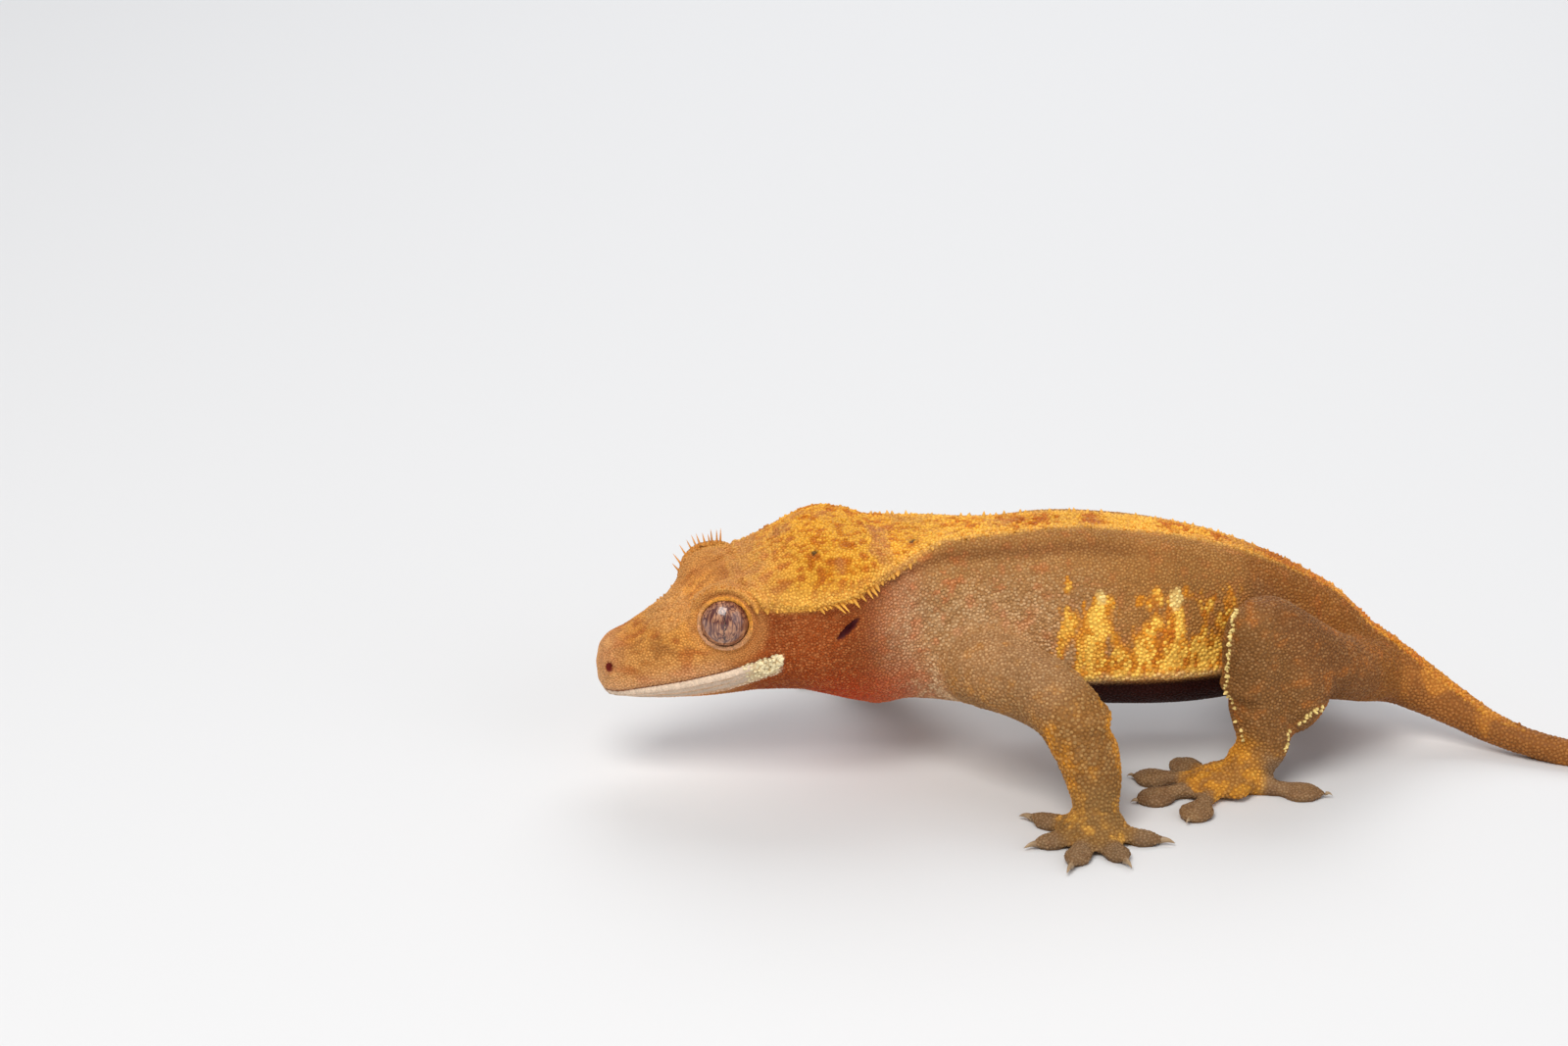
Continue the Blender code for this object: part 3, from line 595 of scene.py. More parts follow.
def face_zone(places):
    """Where the head's fine features lie: round the eyes, along the lips, at the nostrils and the ears."""
    x, y, z = places.T
    eye = eye_reach(places) < FINE_EYE_REACH
    lips = line_distance(places, MOUTH_LINE)[0] < FINE_MOUTH_REACH
    ear = line_distance(places, EAR_SLIT)[0] < FINE_EAR_REACH
    nostril = np.hypot(x - NOSTRIL[0], z - NOSTRIL[2]) < FINE_NOSTRIL_REACH
    return (x < -27) & (np.abs(y) > 1.5) & (eye | ear | nostril) | (x < -39) & lips


def refined(mesh):
    """The mesh with smaller faces where the face needs detail."""
    fine = face_zone(straightened(vertex_array(mesh) / MM + ORIGIN))
    shape = bmesh.new()
    shape.from_mesh(mesh)
    edges = [edge for edge in shape.edges if all(fine[vertex.index] for vertex in edge.verts)]
    bmesh.ops.subdivide_edges(shape, edges=edges, cuts=1, use_grid_fill=True, smooth=0.0)
    bmesh.ops.triangulate(shape, faces=[face for face in shape.faces if len(face.verts) > 4])
    shape.to_mesh(mesh)
    shape.free()
    return mesh


def nostril_reach(places):
    """Distance from a nostril's middle in units of its own size, and far off elsewhere."""
    x, y, z = places.T
    reach = np.hypot((x - NOSTRIL[0]) / NOSTRIL_SIZE[0], (z - NOSTRIL[2]) / NOSTRIL_SIZE[1])
    return np.where((x < -57.0) & (np.abs(y) > 1.2), reach, FAR_OFF)


def ear_reach(places):
    """Distance from the leaf-shaped ear opening's long axis in units of its own width."""
    x, y, z = places.T
    (x0, z0), (x1, z1) = EAR_SLIT
    run = math.hypot(x1 - x0, z1 - z0)
    along = ((x - x0) * (x1 - x0) + (z - z0) * (z1 - z0)) / run - run / 2
    aside = ((x - x0) * (z1 - z0) - (z - z0) * (x1 - x0)) / run
    reach = np.hypot(along / (run / 2 + 0.25), aside / EAR_WIDTH)
    return np.where(np.abs(y) > 8.0, reach, FAR_OFF)


def eye_folds(places):
    """The grooves and rolls of the brow's arch above each eye, and a softer groove below it."""
    move = np.zeros(len(places))
    for side in SIDES:
        out, flat = from_eye(places, side)
        away = np.linalg.norm(flat, axis=1)
        above = ramp(flat[:, 2] / np.maximum(away, 0.1), 0.0, 0.6)
        here = (out > -2.0) & (places[:, 1] * side > 0.5)
        fold = above * (0.5 * hill(away - 4.65, 0.36) - 0.42 * hill(away - 4.12, 0.26))
        fold += above * (0.4 * hill(away - 5.7, 0.36) - 0.42 * hill(away - 5.2, 0.24))
        move += here * (fold - (1 - above) * 0.3 * hill(away - 4.1, 0.3))
    return move


def under_ridge(places):
    """1 just below the crest's edge where it runs down the nape and the back, 0 elsewhere."""
    x, y, z = places.T
    wide, high = crest_at(x)
    below = hill(z - high + 1.5, 0.8) * ramp(np.abs(y), wide - 0.6, wide + 0.2)
    return below * zone(places, "ridge")


def sculpted(places):
    """How far each point of the skin moves out along its normal, in mm, for the folds and openings."""
    x, _, z = places.T
    away, above = line_distance(places, MOUTH_LINE)
    lips = 0.12 * hill(above - 0.75, 0.5) * hill(away - 0.75, 0.6) - 0.2 * hill(away, 0.15)
    lips += 0.2 * hill(above + 0.8, 0.6) * hill(away - 0.8, 0.7)
    nostril, ear = nostril_reach(places), ear_reach(places)
    openings = 0.16 * hill(nostril - 1.5, 0.5) - 0.6 * hill(nostril, 0.75)
    openings += 0.14 * hill(ear - 1.7, 0.6) - 0.8 * hill(ear, 0.75)
    fold = 0.5 * hill(z - FOLD_HEIGHT, 0.8) - 0.35 * hill(z - FOLD_HEIGHT + 1.8, 1.0)
    from_shoulder = np.hypot(x - SHOULDER[0], z - SHOULDER[1])
    ripple = np.sin(2 * math.pi * from_shoulder / WRINKLE) * hill(from_shoulder - WRINKLE_REACH, 2.6)
    hollow = hill(x + 53.5, 3.2) * hill(z - 18.6, 1.8) * zone(places, "hollow")
    move = lips * zone(places, "mouth") + eye_folds(places) + openings + fold * zone(places, "fold")
    move += 0.08 * ripple * zone(places, "ripples") - 0.35 * hollow - 0.35 * under_ridge(places)
    return move - SWELL - COAT_DEPTH


def group_shares(mesh, nodes, passes):
    """For each vertex, how much it belongs to each group, blended softly across the borders."""
    corners, owners, points = [], [], []
    for index, (members, _, _) in enumerate(GROUPS.values()):
        for data in (nodes[name].data for name in members):
            start = len(points)
            points += [vertex.co.copy() for vertex in data.vertices]
            corners += [[start + k for k in face.vertices] for face in data.polygons]
            owners += [index] * len(data.polygons)
    tree = BVHTree.FromPolygons(points, corners)
    share = np.zeros((len(mesh.vertices), len(GROUPS)))
    for vertex in mesh.vertices:
        share[vertex.index, owners[tree.find_nearest(vertex.co)[2]]] = 1.0
    edges = edge_array(mesh)
    for _ in range(passes):
        share = 0.5 * share + 0.5 * averaged(share, edges, len(share))
    return share


def of_groups(share, *names):
    """How much each place belongs to the named groups together."""
    return sum(share[:, GROUP_INDEX[name]] for name in names)


def group_mean(share, values):
    """Each place's mean of a value for each group."""
    return (share / share.sum(axis=1, keepdims=True)) @ np.array(values)


def linear(colour):
    """Display colours from 0 to 255 as scene-linear ones."""
    c = np.clip(np.asarray(colour, float) / 255.0, 0.0, 1.0)
    return np.where(c <= 0.04045, c / 12.92, ((c + 0.055) / 1.055) ** 2.4)


def tone(name):
    return linear(TONES[name])


def painted(colour, *layers):
    """Colours under layers of (tone, amount), laid on in turn."""
    for name, amount in layers:
        amount = np.clip(amount, 0.0, 1.0)[:, None]
        colour = colour * (1 - amount) + tone(name) * amount
    return colour


def on_top(places):
    """1 on the crown and back between the crests, 0 on the sides."""
    x, y, z = places.T
    wide, high = crest_at(x)
    aside = np.abs(y - tail_middle(x))
    return ramp(aside, wide + 0.3, wide - 0.2) * ramp(z, high - 1.2, high - 0.2)


def toe_share(places, share):
    """1 on the toes, 0 on the palm and the leg."""
    amount = np.zeros(len(places))
    for (x, y), _ in FEET.values():
        away = np.hypot(places[:, 0] - x, places[:, 1] - y)
        amount += ramp(away, *TOE_START) * (away < FOOT_REACH)
    return np.clip(amount, 0, 1) * ramp(of_groups(share, "forefoot", "hindfoot"), 0.3, 0.8)


def body_share(share):
    """1 on the head, neck, trunk and hips, 0 on the legs and the tail."""
    return np.clip(of_groups(share, "head", "neck", "trunk", "hips"), 0, 1)


def paint_head(colour, places, share, luck, side):
    head = of_groups(share, "head")
    front = zone(places, "snout") * head
    streak = noise(places * (0.35, 1, 1), 0.55, 3)
    rust = noise(places * (0.6, 1, 1), 1.1, 5)
    above_lip = line_distance(places, MOUTH_LINE)[1]
    cheek = zone(places, "cheek") * side
    return painted(
        colour,
        ("snout pale", front * ramp(streak, 0.3, 0.65) * 0.9),
        ("snout rust", front * ramp(rust, 0.5, 0.75) * 0.7),
        ("snout gold", front * zone(places, "snout top") * ramp(streak, 0.35, 0.6) * 0.6),
        ("muzzle", head * zone(places, "muzzle") * hill(above_lip - 0.6, 1.4) * 0.6),
        ("nose", head * zone(places, "nose") * 0.55),
        ("cheek", cheek * (0.86 + 0.14 * zone(places, "low cheek"))),
        ("throat", zone(places, "throat") * side * 0.85),
        # Pale dots on random cheek scales: painted highlights, as on the granules' tips
        ("cheek tip highlight", cheek * ramp(luck, 0.6, 0.1) * 0.34),
        ("chin", head * zone(places, "chin") * 0.85),
    )


def paint_crown(colour, places, luck, top):
    """The mottled gold of the crown, and the blotched band that follows it down the back."""
    x, y, z = places.T
    crown = top * zone(places, "crown")
    band = crown * zone(places, "band")
    fine = noise(places, 0.5, 8)
    ridged = 1 - np.abs(2 * noise(places * (0.8, 1, 1), 0.95, 9) - 1)
    mixed = 0.14 * noise(places * (0.7, 1, 1), 1.3, 7) + 0.2 * fine + 0.66 * (ridged - 0.25)
    wide, high = crest_at(x)
    edge = hill(np.abs(y) - wide, 0.9) * ramp(z, high - 1.6, high - 0.4) * zone(places, "crest edge")
    patches = 0.55 * noise(places * (1.0, 0.5, 0.0), 3.4, 21) + 0.45 * fine
    return painted(
        colour,
        ("gold", crown * 0.95),
        ("pale gold", crown * ramp(mixed, 0.38, 0.54) * 0.8),
        ("burnt", crown * ramp(mixed, 0.38, 0.2) * 0.62),
        ("forehead", top * zone(places, "forehead") * (0.45 + 0.35 * fine)),
        ("brow", top * hill(x + 47.5, 3.0) * zone(places, "brow") * 0.5),
        ("dusk", crown * ramp(noise(places, 3.2, 10), 0.58, 0.78) * 0.55),
        ("crest edge", edge * (0.35 + 0.55 * luck)),
        ("band pale", band * ramp(patches, 0.42, 0.62) * 0.8),
        ("band rust", band * ramp(patches, 0.43, 0.27) * 0.75),
        ("rump", band * zone(places, "rump") * 0.5),
    )


def flame_mask(places, share):
    """How far each place lies inside the flames that rise from the belly's fold."""
    x, _, z = places.T
    mask = zone(places, "flame foot")
    wobble = (noise(places, 2.2, 13) - 0.5) * 3.0
    for top_x, top_z, low_x, half_width, strength in FLAMES:
        share_down = np.clip((top_z - z) / (top_z - FOLD_HEIGHT), 0, 1)
        middle = top_x + (low_x - top_x) * share_down + wobble
        across = hill(x - middle, half_width * (1.0 + 0.6 * share_down))
        mask = np.maximum(mask, across * strength * ramp(z, top_z + 1.0, top_z - 1.2))
    side = np.clip(of_groups(share, "trunk", "hips"), 0, 1) * zone(places, "flame side")
    return mask * side * ramp(z, FOLD_HEIGHT - 1.2, FOLD_HEIGHT - 0.4)


def paint_flank(colour, places, share, luck, side):
    """The sides' pale neck, dots and specks, the painted shade under the ridge, the flames, and the belly
    below its fold darkened as painted shade.
    """
    x, y, z = places.T
    flank = side * zone(places, "flank")
    spotty = ramp(noise(places, 1.1, 31) + 0.3 * (luck - 0.5), 0.62, 0.85)
    pale = flank * zone(places, "pale neck") * (1 - 0.8 * zone(places, "red neck"))
    flame = flame_mask(places, share)
    upright = places * (1.3, 1.0, 0.4)
    mottle = noise(upright, 0.7, 17) * 0.55 + noise(upright, 1.7, 18) * 0.45
    tossed = mottle + (luck - 0.5) * 0.25
    lit = ramp(flame + (mottle - 0.5) * 1.9, 0.3, 0.66) * ramp(flame, 0.04, 0.2)
    colour = painted(
        colour,
        ("neck pale", pale * (0.16 + 0.34 * ramp(luck, 0.2, 0.9)) * (1 + 1.1 * zone(places, "low neck"))),
        ("flank light", flank * ramp(luck, 0.4, 1.0) * 0.25),
        ("flank dark", flank * ramp(luck, 0.4, 0.0) * 0.25),
        ("red speck", flank * spotty * (0.15 + 0.2 * zone(places, "red speck"))),
        ("ridge shade", body_share(share) * under_ridge(places) * 0.5),
        ("flame", lit * 0.95),
        ("flame pale", lit * ramp(tossed, 0.47, 0.6) * ramp(flame, 0.35, 0.75)),
        ("flame rust", lit * ramp(tossed, 0.44, 0.3) * 0.85),
    )
    trunk = of_groups(share, "trunk", "hips")
    for spot_x, spot_z, size in CREAM_SPOTS:
        away = np.hypot(x - spot_x, 0.7 * (z - spot_z)) + 1.1 * (mottle - 0.5)
        spot = ramp(hill(away, size) * (np.abs(y) > 6), 0.3, 0.7)
        colour = painted(colour, ("cream", spot * trunk * (0.6 + 0.4 * luck)))
    rim = hill(z - FOLD_HEIGHT + 0.3 + 1.2 * (mottle - 0.5), 0.5) * zone(places, "fold rim")
    shade_below_fold = ramp(z, FOLD_HEIGHT - 0.8, FOLD_HEIGHT - 1.8)
    return painted(
        colour,
        ("fold rim", rim * flank * (0.5 + 0.5 * luck)),
        # The belly below the fold darkened almost to black: painted shade where the body curves under
        ("belly", flank * zone(places, "belly") * shade_below_fold),
        ("underside", flank * zone(places, "underside") * 0.7),
    )


def paint_legs(colour, places, share, luck, edge):
    """Gold patches that gather where the skin looks along the body, pale dots and grey-brown toes."""
    rim = ramp(edge, 0.5, 0.85)
    gold = noise(places, 1.5, 41) * 0.6 + noise(places, 0.8, 42) * 0.4
    upper_arm, arm = of_groups(share, "arm"), of_groups(share, "arm", "forearm")
    leg = of_groups(share, "thigh", "shin")
    fore, hind = of_groups(share, "forefoot"), of_groups(share, "hindfoot")
    low_arm = 0.25 * upper_arm + of_groups(share, "forearm")
    toe = toe_share(places, share)
    return painted(
        colour,
        ("arm gold", low_arm * ramp(0.6 * gold + 0.42 * rim, 0.4, 0.9) * 0.9),
        ("arm patch", arm * ramp(gold, 0.56, 0.8) * 0.35),
        ("arm dot", arm * ramp(luck, 0.3, 0.9) * 0.35),
        ("shoulder", upper_arm * zone(places, "shoulder") * (0.06 + 0.3 * luck)),
        ("leg rust", leg * ramp(gold + 0.16 * rim, 0.56, 0.85) * 0.5),
        ("leg dot", leg * ramp(luck, 0.5, 1.0) * 0.4),
        ("forefoot gold", fore * ramp(gold + 0.25 * rim, 0.5, 0.75) * 0.7),
        ("hindfoot gold", hind * ramp(gold + 0.2 * rim, 0.4, 0.62) * 0.85),
        ("foot pale", (fore + hind) * ramp(gold, 0.6, 0.75) * 0.45),
        ("toe", toe * 0.95),
        ("toe dark", toe * ramp(noise(places, 1.1, 43), 0.5, 0.75) * 0.5),
    )


def paint_face_details(colour, places, share):
    """The lips, the openings darkened with painted shade, the skin round the eyes and the few dark specks on
    the crown.
    """
    x, y, _ = places.T
    head = of_groups(share, "head")
    away, above = line_distance(places, MOUTH_LINE)
    deep = lip_depth(x)
    lip = head * ramp(-above, 0.0, 0.2) * ramp(-above, deep + 0.5, deep - 0.1) * zone(places, "lip")
    bars = ramp(noise(places * (1, 0, 0), 0.9, 51), 0.55, 0.75)
    colour = painted(
        colour,
        ("lip", lip * 0.95),
        ("lip bar", lip * bars * 0.5),
        ("lip cream", lip * zone(places, "lip cream") * 0.9),
        ("mouth line", head * hill(away, 0.13) * zone(places, "mouth line") * 0.8),
        # The nostrils and the ear openings darkened: painted shade inside their shallow dents
        ("nostril", ramp(nostril_reach(places), 1.15, 0.8)),
        ("ear", ramp(ear_reach(places), 1.1, 0.8)),
        ("lid", head * ramp(eye_reach(places), 5.6, 4.4) * (np.abs(y) > 2) * 0.5),
    )
    for *spot, size in DARK_SPECKS:
        ragged = np.linalg.norm(places - spot, axis=1) + (noise(places, 0.5, 61) - 0.5) * 0.5
        colour = painted(colour, ("dark speck", ramp(ragged, size, size * 0.6) * 0.85))
    return colour


def markings(places, share, luck, facing=0.0):
    """Scene-linear colour at places on the straight body.

    luck is a random number for each, so that single scales differ, and facing is how far the skin there looks
    along the body.
    """
    top = on_top(places)
    side = body_share(share) * (1 - top)
    colour = group_mean(share, [linear(ground) for _, ground, _ in GROUPS.values()])
    colour = paint_head(colour, places, share, luck, side)
    colour = paint_flank(colour, places, share, luck, side)
    colour = paint_crown(colour, places, luck, top)
    rings = ramp(noise(places, 2.6, 71), 0.5, 0.7) * 0.7
    colour = painted(colour, ("tail gold", of_groups(share, "tail") * rings))
    colour = paint_legs(colour, places, share, luck, np.abs(facing))
    colour = paint_face_details(colour, places, share)
    drift = 0.86 + 0.28 * noise(places, 5.0, 81)
    return colour * drift[:, None]


def set_colour(mesh, colour):
    layer = mesh.color_attributes.new("colour", "FLOAT_COLOR", "POINT")
    write_array(layer.data, "color", np.column_stack([colour, np.ones(len(colour))]))


class Skin:
    """The skin's mesh and what scales need to know of it, in mm on the posed body."""

    def __init__(self, mesh, share):
        self.mesh = mesh
        self.share = share
        self.points = vertex_array(mesh) / MM + ORIGIN
        self.places = straightened(self.points)
        self.normals = normal_array(mesh)
        self.triangles = triangle_array(mesh)
        corners = [tuple(corner) for corner in self.triangles.tolist()]
        self.tree = BVHTree.FromPolygons(self.points.tolist(), corners)

    def snapped(self, place):
        """The skin's point, normal and group shares nearest to a place on the straight body."""
        point, way, index, _ = self.tree.find_nearest(Vector(posed([place])[0]))
        return np.array(point), np.array(way), self.share[self.triangles[index][0]]

    def side_hit(self, x, z, side):
        """Where a line from beside the head, straight in, meets the skin, and the normal there."""
        place = np.array((x, side * 20.0, z))
        way = posed_way(place * (1, 0.4, 1), (0, -side, 0))
        point, normal, _, _ = self.tree.ray_cast(Vector(posed([place])[0]), Vector(way))
        return point, normal


def make_skin(nodes):
    mesh = melted(flesh_shell([nodes[name] for members, _, _ in GROUPS.values() for name in members]))
    feet = of_groups(group_shares(mesh, nodes, FIRST_BORDER_PASSES), "forefoot", "hindfoot")
    relax(mesh, RELAX_PASSES, 1.0 - 0.5 * feet)
    mesh = refined(mesh)
    share = group_shares(mesh, nodes, BORDER_PASSES)
    points = relax(mesh, LAST_RELAX_PASSES, np.full(len(share), LAST_RELAX_AMOUNT))
    mesh.update()
    body = points / MM + ORIGIN
    body = body + normal_array(mesh) * sculpted(straightened(body))[:, None]
    body[:, 2] = np.where(body[:, 2] < SOLE_HEIGHT, LEAST_HEIGHT, body[:, 2])
    write_array(mesh.vertices, "co", in_frame(body))
    mesh.update()
    smooth(mesh)
    skin = Skin(mesh, share)
    set_colour(mesh, markings(skin.places, share, RANDOM.random(len(share)), skin.normals[:, 0]) * SKIN_TINT_AND_SHADE)
    return skin


def pitch_at(places, share):
    """Distance between neighbouring scales."""
    x, y, _ = places.T
    pitch = group_mean(share, [pitch for _, _, pitch in GROUPS.values()])
    pitch = pitch * (1 - 0.28 * ramp(eye_reach(places), 6.5, 3.5) * (x < -40) * (np.abs(y) > 2))
    pitch = pitch * (1 - 0.15 * zone(places, "nose tip") * of_groups(share, "head"))
    pitch = pitch * (1 + 0.16 * flame_mask(places, share))
    pitch = pitch * (1 + 0.12 * on_top(places))
    pitch = pitch * (1 - 0.24 * toe_share(places, share))
    return pitch * 1.0


def bare(places, share):
    """Where no small scale grows: openings, the lips, the eyes, and what lies on the floor."""
    x, _, z = places.T
    above = line_distance(places, MOUTH_LINE)[1]
    lips = (x < -40.2) & (above < 0.12) & (above > -lip_depth(x)) & (of_groups(share, "head") > 0.5)
    eye = np.zeros(len(x), bool)
    for side in SIDES:
        out, flat = from_eye(places, side)
        eye |= (np.linalg.norm(flat, axis=1) < LID_REACH - 0.05) & (out > -2.5) & (out < 4.5)
    return lips | eye | (nostril_reach(places) < 1.0) | (ear_reach(places) < 1.0) | (z < 0.45)


def spaced(points, pitch):
    """Indices of the points that lie at least their pitch from every earlier one that was kept."""
    strides = np.array((1, GRID_CELLS, GRID_CELLS**2))
    keys = (np.floor(points / pitch.max()).astype(np.int64) + GRID_CELLS // 4) @ strides
    steps = sorted((np.array(list(itertools.product((-1, 0, 1), repeat=3))) @ strides).tolist(), key=abs)
    grid = {}
    kept = []
    rows = zip(keys.tolist(), points.tolist(), (pitch**2).tolist())
    for index, (key, (x, y, z), limit) in enumerate(rows):
        near = (spot for step in steps for spot in grid.get(key + step, ()))
        if all((px - x) ** 2 + (py - y) ** 2 + (pz - z) ** 2 >= limit for px, py, pz in near):
            grid.setdefault(key, []).append((x, y, z))
            kept.append(index)
    return np.array(kept)


def scattered(skin):
    """Random candidates all over the skin, thinned so that each keeps its pitch from the others."""
    a, b, c = (skin.points[skin.triangles[:, k]] for k in range(3))
    area = np.linalg.norm(np.cross(b - a, c - a), axis=1) / 2
    pitch = pitch_at(skin.places, skin.share)
    expected = area / (0.75 * pitch[skin.triangles].mean(axis=1) ** 2)
    count = int(expected.sum() * CANDIDATES)
    corners = skin.triangles[RANDOM.choice(len(area), size=count, p=expected / expected.sum())]
    weight = RANDOM.random((count, 2))
    weight = np.where(weight.sum(axis=1, keepdims=True) > 1, 1 - weight, weight)
    weight = np.column_stack([1 - weight.sum(axis=1), weight])
    spots, share, normals = (np.einsum("nk,nkd->nd", weight, values[corners])
                             for values in (skin.points, skin.share, skin.normals))
    normals /= np.linalg.norm(normals, axis=1, keepdims=True)
    places = straightened(spots)
    pitch = pitch_at(places, share)
    free = np.flatnonzero(~bare(places, share))
    kept = free[spaced(spots[free], pitch[free])]
    return spots[kept], normals[kept], places[kept], share[kept], pitch[kept]


class Scales:
    """Arrays that describe scales: where each sits, how it lies, its colour, its sizes and its group."""

    def __init__(self):
        self.rows = []

    def add(self, spots, ups, alongs, lengths, widths, heights, colours, groups=GROUP_INDEX["head"]):
        vectors = [np.atleast_2d(values) for values in (spots, ups, alongs, colours)]
        self.rows.append(vectors + [np.atleast_1d(values) for values in (lengths, widths, heights, groups)])

    def merged(self):
        return [np.concatenate(column) for column in zip(*self.rows)]


def scale_mesh(name, outline, spots, ups, alongs, colours, lengths, widths, heights):
    """One mesh of many scales, each with its own patch on the bake map."""
    *rings, (_, _, tip_highlight) = outline
    alongs = alongs - ups * np.sum(alongs * ups, axis=1, keepdims=True)
    alongs /= np.linalg.norm(alongs, axis=1, keepdims=True)
    sides = np.cross(ups, alongs)
    turn = circle(SCALE_CORNERS)
    shape = [(reach * math.cos(a), reach * math.sin(a), rise) for reach, rise, _ in rings for a in turn]
    shape.append((0.0, 0.0, 1.0))
    points = np.stack([spots + alongs * (lengths * u)[:, None] + sides * (widths * v)[:, None]
                       + ups * (heights * w)[:, None] for u, v, w in shape], axis=1)
    # Each ring's tint: a darker, warmer base for the skin between scales with painted shade in the gaps, a
    # painted highlight on the tip
    tints_and_painted_light = np.array([tint for _, _, tint in rings for _ in turn] + [tip_highlight])
    base = np.arange(len(spots))[:, None] * len(shape)
    quads, tips = [], []
    for low in range(0, SCALE_CORNERS * (len(rings) - 1), SCALE_CORNERS):
        high = low + SCALE_CORNERS
        for a in range(SCALE_CORNERS):
            b = (a + 1) % SCALE_CORNERS
            quads.append(base + np.array((low + a, low + b, high + b, high + a)))
    last = SCALE_CORNERS * (len(rings) - 1)
    for a in range(SCALE_CORNERS):
        tips.append(base + np.array((last + a, last + (a + 1) % SCALE_CORNERS, len(shape) - 1)))
    mesh = mesh_from(name, in_frame(points.reshape(-1, 3)), [np.concatenate(quads), np.concatenate(tips)])
    set_colour(mesh, (colours[:, None, :] * tints_and_painted_light[None, :, :]).reshape(-1, 3))
    add_bake_map(mesh, unwrapped(straightened(spots)), np.array(shape)[:, :2])
    return mesh


def unwrapped(places):
    """A rolled-out map of the skin: how far along the body by how far round it."""
    x, y, z = places.T
    u = (x - x.min()) / max(np.ptp(x), 1e-6)
    v = np.arctan2(y - np.median(y), z - np.median(z)) / (2 * math.pi) + 0.5
    return np.stack([0.01 + 0.98 * u, 0.01 + 0.98 * v], axis=1)


def add_bake_map(mesh, centres, offsets):
    layer = mesh.uv_layers.new(name="OFBake")
    spots = centres[:, None, :] + offsets[None, :, :] * BAKE_PATCH / 2
    corners = read_array(mesh.loops, "vertex_index", 1, np.int32).ravel()
    write_array(layer.data, "uv", spots.reshape(-1, 2)[corners])


def granules(skin, coat):
    """The small round scales all over the body."""
    spots, normals, places, share, pitch = scattered(skin)
    count = len(spots)
    luck = RANDOM.random(count)
    colour = markings(places, share, luck, normals[:, 0]) * between(0.9, 1.12, count)[:, None]
    along = np.array((1.0, 0.0, 0.0)) + between(-0.125, 0.125, (count, 3))
    size = pitch * between(0.62, 0.7, count)
    belly = zone(places, "flat belly") * of_groups(share, "trunk")
    height = pitch * between(0.26, 0.38, count) * (1 - 0.5 * belly)
    height *= 1 - 0.35 * toe_share(places, share)
    height *= 1 + 1.5 * on_top(places) * (luck > 0.88)
    coat.add(spots, normals, along, size * 1.06, size * 0.96, height, colour, share.argmax(axis=1))


def lid_scales(skin, coat):
    """Rows of tiny scales on the lip round each eye."""
    thick = LID_THICK - LID_INSET
    for side in SIDES:
        axis = eye_axis(side)
        across, up = frame_round(axis)
        for row, (angle_out, count, size) in enumerate(LID_ROWS):
            for a in 2 * math.pi * (np.arange(count) + 0.5 * (row % 2)) / count:
                way = across * math.cos(a) + up * math.sin(a)
                out = LID_OUT + thick * math.sin(angle_out)
                place = eye_centre(side) + axis * out + way * (LID_REACH + thick * math.cos(angle_out))
                gilt = ramp(math.sin(a) + 0.5 * math.cos(a), -0.8, 0.8)
                colour = tone("lid pink") * (1 - gilt) + tone("lid gold") * gilt
                colour = colour * between(0.72, 1.22) * (0.8 if row == 0 else 1.0)
                normal = posed_way(place, axis * math.sin(angle_out) + way * math.cos(angle_out))
                ahead = posed_way(place, np.cross(axis, way))
                coat.add(skin.snapped(place)[0], normal, ahead, size, size * 0.95, LID_SCALE_HEIGHT, colour)


def lip_scales(skin, plates):
    """The larger flat scales along the lower lip."""
    x_line, z_line = MOUTH_LINE.T
    run = np.concatenate([[0], np.cumsum(np.hypot(np.diff(x_line), np.diff(z_line)))])
    for side in SIDES:
        for row, (share_down, tall) in enumerate(LIP_ROWS):
            at = LIP_START + 0.35 * row
            while at < run[-1] - LIP_END:
                x, z = np.interp(at, run, x_line), np.interp(at, run, z_line)
                long = 0.62 + 0.2 * ramp(x, -60.0, -44.0)
                at += long * 1.1
                spot, normal = skin.side_hit(x, z - lip_depth(x) * share_down, side)
                if spot is not None:
                    colour = tone("lip") * between(0.9, 1.02) * (1.0 - 0.12 * row)
                    ahead = posed_way(straightened(np.array([spot]))[0], (1.0, 0.0, 0.3))
                    plates.add(spot, normal, ahead, long, tall * lip_depth(x), LIP_PLATE_HEIGHT, colour)


def mouth_corner(skin, coat):
    """The cream knobs along the rear of the lower lip, which crowd behind the mouth."""
    for side in SIDES:
        for _ in range(MOUTH_KNOBS):
            t = RANDOM.random() ** 0.7
            x = -44.5 + 5.0 * t
            deep = lip_depth(x) * (1 - 0.35 * ramp(x, -41.0, -39.5))
            z = np.interp(x, *MOUTH_LINE.T) + 0.15 - deep * RANDOM.random()
            spot, normal = skin.side_hit(x, z, side)
            if spot is not None:
                colour = tone("mouth knob") * between(0.72, 1.12)
                size = 0.24 + 0.2 * t * RANDOM.random()
                coat.add(spot, normal, (1.0, 0.0, 0.2), size, size * 0.9, 0.16 + 0.22 * t, colour)


